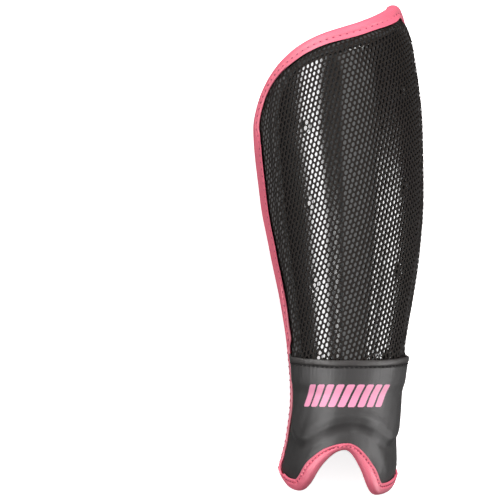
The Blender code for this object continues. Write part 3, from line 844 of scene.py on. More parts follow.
@dataclass(frozen=True)
class EvaFoam:
    """Closed-cell EVA foam, die cut and skived: matt black, with fine open pores."""

    colour: str = "#1b1a1b"
    pore: float = 0.6 * MM

    def make(self) -> bpy.types.Material:
        """Pores of a real 0.6 mm, as shallow pits.

        Returns:
            The material.
        """
        settings = {"Roughness": 0.88, "IOR": 1.5}
        material, tree, shader = new_material("eva_foam_black", self.colour, settings)
        place = add_node(tree, "ShaderNodeTexCoord", {}).outputs["Object"]
        pores = add_node(tree, "ShaderNodeTexVoronoi", {"Scale": 1 / self.pore}, {"Vector": place})
        pits = {"Strength": 0.35, "Distance": 0.1 * MM}
        bump = add_node(tree, "ShaderNodeBump", pits, {"Height": pores.outputs["Distance"]})
        tree.links.new(bump.outputs["Normal"], shader.inputs["Normal"])
        return material


@dataclass(frozen=True)
class MouldedShell:
    """Injection-moulded polypropylene: glossy black, with a faint orange-peel surface."""

    colour: str = "#101011"
    peel: float = 4.0 * MM
    scuff: float = 18.0 * MM
    roughness: tuple[float, float] = (0.12, 0.24)

    def make(self) -> bpy.types.Material:
        """Sharp highlights that waver over a few millimetres, and fine scuffs.

        Returns:
            The material.
        """
        settings = {"Roughness": 0.16, "IOR": 1.5}
        material, tree, shader = new_material("polypropylene_gloss_black", self.colour, settings)
        place = add_node(tree, "ShaderNodeTexCoord", {}).outputs["Object"]
        slow = {"Scale": 1 / self.peel, "Detail": 1.0}
        peel = add_node(tree, "ShaderNodeTexNoise", slow, {"Vector": place})
        relief = {"Strength": 0.12, "Distance": 0.15 * MM}
        bump = add_node(tree, "ShaderNodeBump", relief, {"Height": peel.outputs["Fac"]})
        worn = {"Scale": 1 / self.scuff, "Detail": 5.0}
        scuffs = add_node(tree, "ShaderNodeTexNoise", worn, {"Vector": place})
        span = {"To Min": self.roughness[0], "To Max": self.roughness[1]}
        rough = add_node(tree, "ShaderNodeMapRange", span, {"Value": scuffs.outputs["Fac"]})
        tree.links.new(bump.outputs["Normal"], shader.inputs["Normal"])
        tree.links.new(rough.outputs["Result"], shader.inputs["Roughness"])
        return material


@dataclass(frozen=True)
class KnittedNet:
    """Warp-knitted polyester net: black filament yarn with a dull sheen and a ribbed hand."""

    colour: str = "#1f1a17"
    yarn: float = 0.35 * MM

    def make(self) -> bpy.types.Material:
        """Yarns drawn at 0.35 mm, about twice their real size, so that they show.

        Returns:
            The material.
        """
        settings = {"Roughness": 0.6, "Specular IOR Level": 0.04}
        material, tree, shader = new_material("polyester_net_black", self.colour, settings)
        place = add_node(tree, "ShaderNodeUVMap", {"uv_map": "cloth"}).outputs["UV"]
        strands = {"Scale": 1 / self.yarn / math.tau, "Distortion": 2.0, "Detail": 2.0}
        yarns = add_node(tree, "ShaderNodeTexWave", strands, {"Vector": place})
        relief = {"Strength": 0.5, "Distance": 0.1 * MM}
        bump = add_node(tree, "ShaderNodeBump", relief, {"Height": yarns.outputs["Fac"]})
        tree.links.new(bump.outputs["Normal"], shader.inputs["Normal"])
        return material


@dataclass(frozen=True)
class SyntheticLeather:
    """Polyurethane-coated cloth with an embossed grain: satin black, softly creased."""

    name: str
    colour: str = "#2d2b2b"
    grain: float = 0.9 * MM
    bend: float = 1.5 * MM
    patch: float = 22.0 * MM
    roughness: tuple[float, float] = (0.40, 0.56)

    def make(self) -> bpy.types.Material:
        """Cells of a 0.9 mm grain, broken up by noise, over a slow unevenness.

        Returns:
            The material.
        """
        settings = {"Roughness": 0.46, "Specular IOR Level": 0.15}
        material, tree, shader = new_material(self.name, self.colour, settings)
        place = add_node(tree, "ShaderNodeTexCoord", {}).outputs["Object"]
        fine = {"Scale": 1 / self.bend, "Detail": 2.0}
        warp = add_node(tree, "ShaderNodeTexNoise", fine, {"Vector": place})
        blend, ends = {"data_type": "VECTOR", "Factor": 0.0006}, {4: place, 5: warp.outputs["Color"]}
        bent = add_node(tree, "ShaderNodeMix", blend, ends)
        cell = {"feature": "DISTANCE_TO_EDGE", "Scale": 1 / self.grain}
        cells = add_node(tree, "ShaderNodeTexVoronoi", cell, {"Vector": bent.outputs[1]})
        near = {"Value": cells.outputs["Distance"]}
        plump = add_node(tree, "ShaderNodeMapRange", {"From Max": 0.25}, near)
        relief = {"Strength": 0.35, "Distance": 0.12 * MM}
        bump = add_node(tree, "ShaderNodeBump", relief, {"Height": plump.outputs["Result"]})
        wide = {"Scale": 1 / self.patch, "Detail": 3.0}
        slow = add_node(tree, "ShaderNodeTexNoise", wide, {"Vector": place})
        span = {"To Min": self.roughness[0], "To Max": self.roughness[1]}
        rough = add_node(tree, "ShaderNodeMapRange", span, {"Value": slow.outputs["Fac"]})
        tree.links.new(bump.outputs["Normal"], shader.inputs["Normal"])
        tree.links.new(rough.outputs["Result"], shader.inputs["Roughness"])
        return material


@dataclass(frozen=True)
class WovenTape:
    """Woven polyester binding tape: pink, with fine ribs across it and a slight sheen."""

    colour: str = "#f07188"
    dip_shade_colour: str = "#e4657c"
    rib: float = 0.55 * MM

    def make(self) -> bpy.types.Material:
        """Ribs of 0.55 mm along the tape's own length and across it, with painted shade: a darker pink in
        the dips between them.

        Returns:
            The material.
        """
        sheen = {"Sheen Weight": 0.10, "Sheen Roughness": 0.35}
        settings = {"Roughness": 0.5, "Specular IOR Level": 0.25, **sheen}
        material, tree, shader = new_material("polyester_tape_pink", self.colour, settings)
        place = add_node(tree, "ShaderNodeUVMap", {"uv_map": "cloth"}).outputs["UV"]
        weft = {"Scale": 1 / self.rib / math.tau, "Distortion": 0.6, "Detail": 1.0}
        ribs = add_node(tree, "ShaderNodeTexWave", weft, {"Vector": place})
        warp = {"bands_direction": "Y", "Scale": 1 / self.rib / math.tau, "Distortion": 0.6}
        across = add_node(tree, "ShaderNodeTexWave", warp, {"Vector": place})
        factors = {0: ribs.outputs["Fac"], 1: across.outputs["Fac"]}
        both = add_node(tree, "ShaderNodeMath", {"operation": "MULTIPLY"}, factors)
        relief = {"Strength": 0.5, "Distance": 0.12 * MM}
        bump = add_node(tree, "ShaderNodeBump", relief, {"Height": both.outputs["Value"]})
        # Painted shade: the darker pink goes where the ribs dip, in the hollows of the weave.
        tones = {"data_type": "RGBA", 6: linear(self.dip_shade_colour), 7: linear(self.colour)}
        dip_shade = add_node(tree, "ShaderNodeMix", tones, {"Factor": both.outputs["Value"]})
        tree.links.new(bump.outputs["Normal"], shader.inputs["Normal"])
        tree.links.new(dip_shade.outputs[2], shader.inputs["Base Color"])
        return material


@dataclass(frozen=True)
class PlainFinish:
    """A finish with no pattern of its own, such as sewing thread or screen-print ink."""

    name: str
    colour: str
    roughness: float

    def make(self) -> bpy.types.Material:
        """The material."""
        settings = {"Roughness": self.roughness, "Specular IOR Level": 0.12}
        return new_material(self.name, self.colour, settings)[0]


class Slot(Enum):
    """The record's material slots."""

    FOAM = "foam_black"
    SHELL = "shell_black"
    NET = "net_black"
    CUFF = "cuff_black"
    HEM = "hem_black"
    TAPE = "tape_pink"


def finish_piece(
    obj: bpy.types.Object, material: bpy.types.Material, node: str | None = None
) -> None:
    """Gives a piece its finish, its body and the node that it stands for.

    Args:
        obj: The piece.
        material: Its finish.
        node: The solid that it stands for, or none.
    """
    obj.data.materials.clear()
    obj.data.materials.append(material)
    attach(obj, "root")
    if node:
        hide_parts(node)
    log.info("%s: %d faces", obj.name, len(obj.data.polygons))


@dataclass
class Vents:
    """Two rows of oval air vents, cut straight through along the surface's normal."""

    width: float = 6.4 * MM
    length: float = 9.2 * MM
    half_depth: float = 14.0 * MM
    rows: tuple[tuple[float, tuple[float, ...]], ...] = (
        (-0.38, (0.754, 0.598, 0.435, 0.285)),
        (0.38, (0.824, 0.629, 0.459, 0.285)),
    )

    def cutter(self, around: float, along: float, room: float) -> bpy.types.Object:
        """An oval prism: a circle of 40 points scaled to the two sizes, from -14 to 14 mm.

        Args:
            around: Around number of the vent's middle.
            along: Its distance in metres from the lowest leg tip.
            room: How much wider than the vent it is all round.

        Returns:
            The prism.
        """
        place = np.array([around]), np.array([along])
        out = FORM.normals(*place)[0]
        up = FORM.slopes(*place)[1][0]
        up /= np.linalg.norm(up)
        side = np.cross(up, out)
        turn = np.linspace(0, 2 * math.pi, 40, endpoint=False)
        flat = np.cos(turn)[:, None] * side * (self.width / 2 + room)
        flat = flat + np.sin(turn)[:, None] * up * (self.length / 2 + room)
        middle, reach = FORM.surface(*place)[0] + flat, out * self.half_depth
        rings = np.stack([middle - reach, middle + reach])
        return sweep("vent_cutter", rings)

    def cut(self, obj: bpy.types.Object, room: float = 0.0) -> None:
        """Cuts every vent through a piece, wider by some room all round, and removes the cutters.

        Args:
            obj: The piece that the vents go through.
            room: How much wider than the vent it is all round.
        """
        places = [(around, share * FORM.length) for around, shares in self.rows for share in shares]
        cutters = [self.cutter(*place, room) for place in places]
        for cutter in cutters:
            hole = obj.modifiers.new("Vent", "BOOLEAN")
            hole.operation, hole.object, hole.solver = "DIFFERENCE", cutter, "EXACT"
        freeze(obj)
        for cutter in cutters:
            bpy.data.objects.remove(cutter, do_unlink=True)


@dataclass
class FoamLiner:
    """The foam pad that lines the hollow, with the thin flange that the binding grips."""

    across: int = 96
    upward: int = 170
    edge: float = 2.2 * MM
    vent_room: float = 1.4 * MM
    plump: float = 0.2 * MM

    def places(self) -> Array:
        """The whole outline, held back from the binding's crown.

        Returns:
            A grid of (around, along) places.
        """
        loop = OUTLINE.inset(self.edge)
        u, v = np.linspace(0, 1, self.across + 1), np.linspace(0, 1, self.upward + 1)
        foot = OUTLINE.spaced(OUTLINE.part(loop, OUTLINE.arch_start, OUTLINE.arch_end), u)
        left = OUTLINE.spaced(OUTLINE.part(loop, OUTLINE.shoulder(-1), OUTLINE.arch_start)[::-1], v)
        right = OUTLINE.spaced(OUTLINE.part(loop, OUTLINE.arch_end, OUTLINE.shoulder(1)), v)
        over = np.concatenate([
            OUTLINE.part(loop, 0.0, OUTLINE.shoulder(-1))[::-1],
            OUTLINE.part(loop, OUTLINE.shoulder(1), OUTLINE.length[-1])[::-1],
        ])
        return coons(foot, OUTLINE.spaced(over, u), left, right)

    def build(self, vents: Vents, foam: bpy.types.Material) -> bpy.types.Object:
        """The pad: its two faces, the outer one up to the net beside the shell, and its vents.

        Args:
            vents: The vents that go through it.
            foam: Its finish.

        Returns:
            The piece.
        """
        places = self.places()
        around, along = places[..., 0], places[..., 1]
        inner, outer = DISTANCES.foam_lifts(around, along)
        outer = outer + self.plump + DISTANCES.slope_fill(around, along)
        pad = slab("foam_pad", FORM.lifted(around, along, outer), FORM.lifted(around, along, inner))
        vents.cut(pad, self.vent_room)
        finish_piece(pad, foam, "foam_liner")
        return pad


@dataclass
class HardShell:
    """The glossy shell: a raised ridge between two grooves, and vents in two rows."""

    across: int = 110
    upward: int = 150
    rounding: float = 1.2 * MM
    crowding: float = 0.06

    def places(self) -> Array:
        """A grid whose lines run straight along the guard, so that they follow the ridge.

        Returns:
            A grid of (around, along) places.
        """
        side = LAYERS.shell_around
        around = np.linspace(-side, side, self.across + 1)
        v = np.linspace(0.0, 1.0, self.upward + 1)[:, None]
        v = v - self.crowding * np.sin(2 * math.pi * v) / (2 * math.pi)
        low, high = LAYERS.shell_low(around), LAYERS.shell_top(around)
        around = np.broadcast_to(around, (self.upward + 1, self.across + 1))
        return np.stack([around, low + (high - low) * v], axis=2)

    def build(self, vents: Vents, plastic: bpy.types.Material) -> bpy.types.Object:
        """The shell: both faces follow the ridge, and the outer one rounds down at the rim.

        Args:
            vents: The vents that go through it.
            plastic: Its finish.

        Returns:
            The piece.
        """
        places = self.places()
        around, along = places[..., 0], places[..., 1]
        low = LAYERS.shell_lift + LAYERS.rib_height(around, along)
        depth = np.clip(-DISTANCES.read(DISTANCES.shell, around, along) / self.rounding, 0.0, 1.0)
        drop = (1.0 - np.sqrt(1.0 - (1.0 - depth) ** 2)) * self.rounding
        outer = FORM.lifted(around, along, low + LAYERS.shell - drop)
        shell = slab("moulded_shell", outer, FORM.lifted(around, along, low))
        vents.cut(shell)
        finish_piece(shell, plastic, "hard_shell")
        return shell


@dataclass
class NetCover:
    """The knitted net: rows of oval holes, each in a six-sided cell, with raised yarn between."""

    wale: float = 2.66 * MM
    course: float = 3.88 * MM
    tilt: float = 13.0
    hole: tuple[float, float] = (2.02 * MM, 3.02 * MM)
    thick: float = 0.45 * MM
    low: float = 0.05 * MM
    edge: float = 2.4 * MM
    lowest: float = 79.0 * MM
    start: float = 40.0 * MM
    seed: int = 7
    size_spread: float = 0.04
    place_spread: float = 0.03 * MM
    raster: float = 0.05 * MM

    def centres(self) -> Array:
        """Middles of the holes on the flat cloth: each second wale is moved by half a course.

        Returns:
            One row for each hole.
        """
        i, j = np.meshgrid(np.arange(-60, 61), np.arange(-20, 110), indexing="ij")
        p, q = i * self.wale, j * self.course + (i % 2) * self.course / 2
        return np.stack([p, q], axis=-1).reshape(-1, 2)

    def onto_guard(self, flat: Array) -> tuple[Array, Array]:
        """Turns flat cloth by its tilt and wraps it round the front, as (around, along).

        Args:
            flat: Places on the flat cloth, in metres.

        Returns:
            The around and the along numbers.
        """
        turn = math.radians(self.tilt)
        arc = flat[..., 0] * math.cos(turn) + flat[..., 1] * math.sin(turn) - self.start
        along = -flat[..., 0] * math.sin(turn) + flat[..., 1] * math.cos(turn)
        return FORM.around_at(arc, along), along

    def kept(self, flat: Array) -> Array:
        """Which places of the flat cloth lie on the guard, above the cuff's tuck line.

        Args:
            flat: Places on the flat cloth, in metres.

        Returns:
            True for each place that is kept.
        """
        around, along = self.onto_guard(flat)
        inside = (np.abs(around) < 1.0) & (along > self.lowest)
        inside &= along < FORM.top_edge(np.clip(around, -1, 1))
        return inside & (DISTANCES.read(DISTANCES.edge, np.clip(around, -1, 1), along) > self.edge)

    def build(self, yarn: bpy.types.Material) -> bpy.types.Object:
        """The net, one cell for each hole.

        The six corners of a cell are shared with its neighbours and lie high on the front face
        and low on the back. The hole's rim lies halfway, so every yarn is a bead.

        Args:
            yarn: Its finish.

        Returns:
            The piece.
        """
        a, b = self.wale, self.course
        reach = (a * a - (b / 2) ** 2) / (2 * a)
        upper = [(a - reach, 0), (reach, b / 2), (-reach, b / 2)]
        corners = np.array([*upper, (reach - a, 0), (-reach, -b / 2), (reach, -b / 2)])
        middles = (corners + np.roll(corners, -1, axis=0)) / 2
        rays = np.stack([corners, middles], axis=1).reshape(12, 2)
        rays /= np.linalg.norm(rays, axis=1, keepdims=True)
        half = np.array(self.hole) / 2
        rim = rays / np.sqrt(((rays / half) ** 2).sum(axis=1, keepdims=True))
        centres = self.centres()
        cells = centres[:, None] + corners[None]
        keep = self.kept(cells).all(axis=1)
        centres, cells = centres[keep], cells[keep]
        rng = np.random.default_rng(self.seed)
        sizes = 1.0 + rng.normal(0, self.size_spread, (len(centres), 1, 1))
        moved = rng.normal(0, self.place_spread, (len(centres), 1, 2))
        holes = centres[:, None] + rim[None] * sizes + moved
        keys = np.round(cells.reshape(-1, 2) / self.raster).astype(np.int64)
        _, first, index = np.unique(keys, axis=0, return_index=True, return_inverse=True)
        shared, index = cells.reshape(-1, 2)[first], index.reshape(-1, 6)
        flat = np.concatenate([shared, shared, holes.reshape(-1, 2)])
        around, along = self.onto_guard(flat)
        count, n = len(shared), len(centres)
        levels = ((count, self.thick), (count, self.low), (n * 12, 0.5 * self.thick))
        level = np.concatenate([np.full(many, lift) for many, lift in levels])
        under = DISTANCES.net_lift(around, along) - DISTANCES.slack(around, along)
        points = FORM.lifted(around, along, under + level)
        ring = 2 * count + np.arange(n * 12).reshape(n, 12)
        here, after = index, np.roll(index, -1, axis=1)
        at, mid, on = ring[:, 0::2], ring[:, 1::2], np.roll(ring, -2, axis=1)[:, 0::2]
        kinds = ((here, after, mid), (here, mid, at), (after, on, mid))
        front = np.concatenate([np.stack(kind, axis=2).reshape(-1, 3) for kind in kinds])
        back = np.where(front < count, front + count, front)[:, ::-1]
        pairs = np.stack([here, after], axis=2).reshape(-1, 2)
        pair_keys = np.sort(pairs, axis=1)
        found = np.unique(pair_keys, axis=0, return_inverse=True, return_counts=True)
        first, second = pairs[found[2][found[1].ravel()] == 1].T
        walls = np.stack([second, first, first + count, second + count], axis=1)
        net = new_piece("net_cover", points, [front, back, walls], flat, sharp=75.0)
        finish_piece(net, yarn, "mesh_cover")
        return net


@dataclass
class Stitches:
    """A row of machine stitches: thread that bows out of the cloth and dives in at both ends."""

    pitch: float
    length: float
    thread: float
    sunk: float = 0.40 * MM
    proud: float = 0.3
    stations: int = 7
    sides: int = 6

    def build(
        self, name: str, places: Array, lift: Array, material: bpy.types.Material, slot: Slot
    ) -> bpy.types.Object:
        """Lays stitches along a line on the guard.

        Each stitch is a bead of 7 by 6 points: its radius falls to a tenth at both ends, and its
        middle line drops with the fourth power of the way to an end, until it is in the cloth.

        Args:
            name: The object's name.
            places: The line's (around, along) rows.
            lift: The cloth's outer lift at each of them.
            material: The thread's finish.
            slot: The record's slot of the cloth that it holds; not used.

        Returns:
            The object, one closed bead for each stitch.
        """
        line = FORM.lifted(places[:, 0], places[:, 1], lift)
        out = FORM.normals(places[:, 0], places[:, 1])
        at = np.concatenate([[0.0], np.cumsum(np.linalg.norm(np.diff(line, axis=0), axis=1))])
        middles = np.arange(self.pitch / 2, at[-1] - self.length / 2, self.pitch)
        t = np.linspace(-1.0, 1.0, self.stations)
        stations = middles[:, None] + t[None] * self.length / 2
        centre = np.stack([np.interp(stations, at, line[:, c]) for c in range(3)], axis=-1)
        normal = np.stack([np.interp(stations, at, out[:, c]) for c in range(3)], axis=-1)
        centre += normal * (self.thread * self.proud - self.sunk * t[None, :, None] ** 4)
        ahead = np.gradient(centre, axis=1)
        ahead /= np.linalg.norm(ahead, axis=2, keepdims=True)
        across = np.cross(ahead, normal)
        turn = (np.arange(self.sides) * math.tau / self.sides)[:, None]
        taper = np.maximum(np.sqrt(np.maximum(1 - t**4, 0)), 0.1)[None, :, None, None]
        ring = np.cos(turn) * across[:, :, None] + np.sin(turn) * normal[:, :, None]
        points = centre[:, :, None] + ring * self.thread / 2 * taper
        index = np.arange(points.size // 3).reshape(-1, self.stations, self.sides)
        turned = np.roll(index, -1, axis=2)
        corners = (index[:, :-1], index[:, 1:], turned[:, 1:], turned[:, :-1])
        quads = np.stack(corners, axis=3).reshape(-1, 4)
        caps = [index[:, 0], index[:, -1, ::-1]]
        obj = new_piece(name, points, [quads, *caps], sharp=80.0)
        finish_piece(obj, material)
        return obj


@dataclass
class BindingTape:
    """Folded tape round the outline: round crown, stitched channel, pressed flat on the floor."""

    wall: float = 1.0 * MM
    crown: float = 2.2 * MM
    reach: float = 7.0 * MM
    top_reach: float = 9.0 * MM
    left_reach: float = 11.5 * MM
    apex_reach: float = 4.6 * MM
    arm_reach: float = 8.2 * MM
    cuff_reach: float = 4.0 * MM
    lining: float = 6.2 * MM
    pressed_web: float = 0.5 * MM
    stitch_margin: float = 2.2 * MM
    pitch: float = 4.7 * MM
    channel: float = 0.40 * MM
    needle: float = 0.7 * MM
    needle_depth: float = 0.45 * MM
    cut_edge: tuple[float, float] = (0.45 * MM, 0.5 * MM)
    wander: float = 0.25 * MM
    ruck: float = 0.22 * MM
    thread_sunk: float = 0.30 * MM
    face_shares: tuple[float, ...] = (0.0, 0.08, 0.18, 0.29, 0.36, 0.42, 0.48, 0.56, 0.68, 0.84)
    outer_ply: tuple[int, ...] = (*range(10), -1)

    def slots(self, at: Array) -> tuple[Array, Array]:
        """Lower and upper lift of what the tape grips, thin at the sides and fat on the arch.

        Args:
            at: Distances along the outline.

        Returns:
            The two lifts at each distance, in metres.
        """
        fat = OUTLINE.read(OUTLINE.fat, at)
        side_high = -LAYERS.dip + LAYERS.gap + LAYERS.net + LAYERS.slot_gap
        arch_high = LAYERS.gap + LAYERS.cuff_slack + LAYERS.cuff + LAYERS.slot_gap
        side_low, arch_low = -LAYERS.foam - LAYERS.slot_gap, -LAYERS.arch_foam - LAYERS.slot_gap
        return side_low + (arch_low - side_low) * fat, side_high + (arch_high - side_high) * fat

    def reaches(self, at: Array) -> Array:
        """How far the outer side comes in: widest on top, narrow beside the cuff and at the apex.

        Args:
            at: Distances along the outline.

        Returns:
            The width of the outer side at each distance, in metres.
        """
        along = OUTLINE.read(OUTLINE.loop[:, 1], at)
        above = smooth((along - LAYERS.hem(np.ones_like(along)) - 1.5 * MM) / (8 * MM))
        wide = np.maximum(above, OUTLINE.read(OUTLINE.by_foot, at))
        reach = self.cuff_reach + (self.reach - self.cuff_reach) * wide
        reach += (self.top_reach - self.reach) * self.on_top(at)
        on_left = OUTLINE.read(OUTLINE.loop[:, 0], at) < -0.97
        beside = smooth((along - 110 * MM) / (50 * MM)) * (1 - smooth((along - 235 * MM) / (15 * MM)))
        reach += (self.left_reach - self.reach) * beside * on_left
        from_seam = np.minimum(at - OUTLINE.arch_start, OUTLINE.arch_end - at)
        reach += (self.arm_reach - self.reach) * smooth(from_seam / (14 * MM))
        return reach - (self.arm_reach - self.apex_reach) * self.at_apex(at)

    def onto_guard(self, at: Array, into: Array) -> tuple[Array, Array]:
        """The around and along numbers at distances into the guard, one row for each place."""
        around, along = (OUTLINE.read(OUTLINE.loop[:, c], at)[:, None] for c in (0, 1))
        by_around, by_along = (OUTLINE.read(OUTLINE.into[:, c], at)[:, None] for c in (0, 1))
        return around + by_around * into, along + by_along * into

    @staticmethod
    def at_apex(at: Array) -> Array:
        """1 at the arch's apex, falling to 0 along its arms."""
        low = OUTLINE.read(OUTLINE.loop[:, 1], at) < FORM.arch[1] + 5 * MM
        return bell(OUTLINE.read(OUTLINE.loop[:, 0], at) - FORM.arch[0], 0.18) * low

    @staticmethod
    def on_top(at: Array) -> Array:
        """1 along the top edge, falling to 0 over the shoulders."""
        return smooth((OUTLINE.read(OUTLINE.loop[:, 1], at) / FORM.length - 0.85) / 0.07)

    def margins(self, at: Array) -> Array:
        """How far the stitched channel lies from the cut edge."""
        return self.stitch_margin + 0.9 * MM * self.on_top(at)

    def profile(self, at: Array, seed: int) -> tuple[Array, Array]:
        """The tape's section at each station, as distances into the guard and lifts.

        It runs from the cut edge out over the outer face, round an elliptical crown, in along the
        lining and back inside. The outer face is pillowed on both sides of the stitched channel,
        dimpled by a bell where the needle went in between two stitches, and its cut edge wanders
        by a quarter of a millimetre.

        Args:
            at: Distances along the outline.
            seed: Which irregular lines it takes.

        Returns:
            Distances into the guard and lifts, a row for each station.
        """
        low, high = self.slots(at)
        reach = self.reaches(at) + self.wander * waves(at, seed, 5, 0.06, 0.012)
        fat = OUTLINE.read(OUTLINE.fat, at)
        crown = self.crown * (1 + 0.35 * fat)
        edge = FORM.surface(*(OUTLINE.read(OUTLINE.loop[:, c], at) for c in (0, 1)))
        pressed = 1.0 - smooth(edge[:, 2] / (4 * MM))
        outer_low, outer_high = low - self.wall, high + self.wall
        middle, half = (outer_low + outer_high) / 2, (outer_high - outer_low) / 2
        k = np.array(self.face_shares)[None]
        face = reach[:, None] + (crown - reach)[:, None] * k
        line = (reach - self.margins(at))[:, None]
        to_needle = (at / self.pitch - np.round(at / self.pitch))[:, None] * self.pitch
        dimple = bell(face - line, self.needle) * bell(to_needle, self.needle)
        deep = self.channel * (1.0 + 0.8 * fat[:, None])
        rise = -deep * bell(face - line, 0.6 * MM) - self.needle_depth * dimple
        rise -= self.cut_edge[0] * bell(face - reach[:, None], self.cut_edge[1])
        rise += (0.30 * MM + 0.25 * MM * fat[:, None]) * np.sin(math.pi * k)
        gathered = self.ruck * (1.0 + 1.5 * self.at_apex(at)) * fat
        ruck = (gathered * waves(at, seed + 1, 6, 0.011, 0.005))[:, None]
        turn = np.linspace(0.0, math.pi, 11)[None]
        power = 1.0 - 0.75 * pressed[:, None]
        round_x = crown[:, None] * (1.0 - np.sin(turn) ** power)
        round_z = middle[:, None] + half[:, None] * np.cos(turn)
        back = crown[:, None] + (self.lining - crown)[:, None] * np.linspace(0.0, 1.0, 5)[None, 1:]
        web = self.wall + self.pressed_web * pressed
        inner = np.stack([np.full_like(at, self.lining), web, np.full_like(at, self.wall), reach], axis=1)
        inner_z = np.stack([low, low, high, high], axis=1)
        into = np.concatenate([face, round_x, back, inner], axis=1)
        lift = np.concatenate([
            outer_high[:, None] + rise + ruck * np.sin(math.pi * k),
            round_z + ruck * 0.5 * np.sin(turn),
            np.broadcast_to(outer_low[:, None], back.shape),
            inner_z,
        ], axis=1)
        return into, lift

    def build(
        self,
        name: str,
        node: str,
        start: float,
        end: float,
        step: float,
        seed: int,
        tape: bpy.types.Material,
    ) -> bpy.types.Object:
        """Args:
            name: The piece's name.
            node: The solid that it stands for.
            start: Where it starts, as a distance along the outline.
            end: Where it ends, as a distance along the outline.
            step: Distance between stations.
            seed: Which irregular lines it takes.
            tape: Its finish.

        Returns:
            The piece.
        """
        at = np.linspace(start, end, int((end - start) / step) + 1)
        into, lift = self.profile(at, seed)
        around, along = self.onto_guard(at, into)
        lift[:, self.outer_ply] += self.ply_rise(around, along, at[:, None])[:, self.outer_ply]
        rings = FORM.lifted(around, along, lift)
        rings[..., 2] = np.maximum(rings[..., 2], 0.0)
        steps = np.linalg.norm(np.diff(rings, axis=1, prepend=rings[:, :1]), axis=2)
        uv = np.stack([np.broadcast_to(at[:, None], into.shape), np.cumsum(steps, axis=1)], axis=2)
        obj = sweep(name, rings, uv, sharp=60.0)
        finish_piece(obj, tape, node)
        return obj

    @staticmethod
    def ply_rise(around: Array, along: Array, at: Array) -> Array:
        """How far the outer ply rides up on the net, where the pad under it gets thicker."""
        dip = LAYERS.dip * (1.0 - OUTLINE.read(OUTLINE.fat, at))
        return np.maximum(DISTANCES.net_lift(around, along) - LAYERS.gap + dip, 0.0)

    def stitch_line(self, start: float, end: float) -> tuple[Array, Array]:
        """Places and lifts of the stitched channel between two distances along the outline.

        Args:
            start: Where it starts, as a distance along the outline.
            end: Where it ends, as a distance along the outline.

        Returns:
            The (around, along) rows, and the lift at each.
        """
        at = np.arange(math.ceil(start / self.pitch) * self.pitch, end, 0.55 * MM)
        into = self.reaches(at) - self.margins(at)
        places = np.concatenate(self.onto_guard(at, into[:, None]), axis=1)
        rise = self.ply_rise(places[:, 0], places[:, 1], at)
        return places, self.slots(at)[1] + self.wall + rise - self.thread_sunk


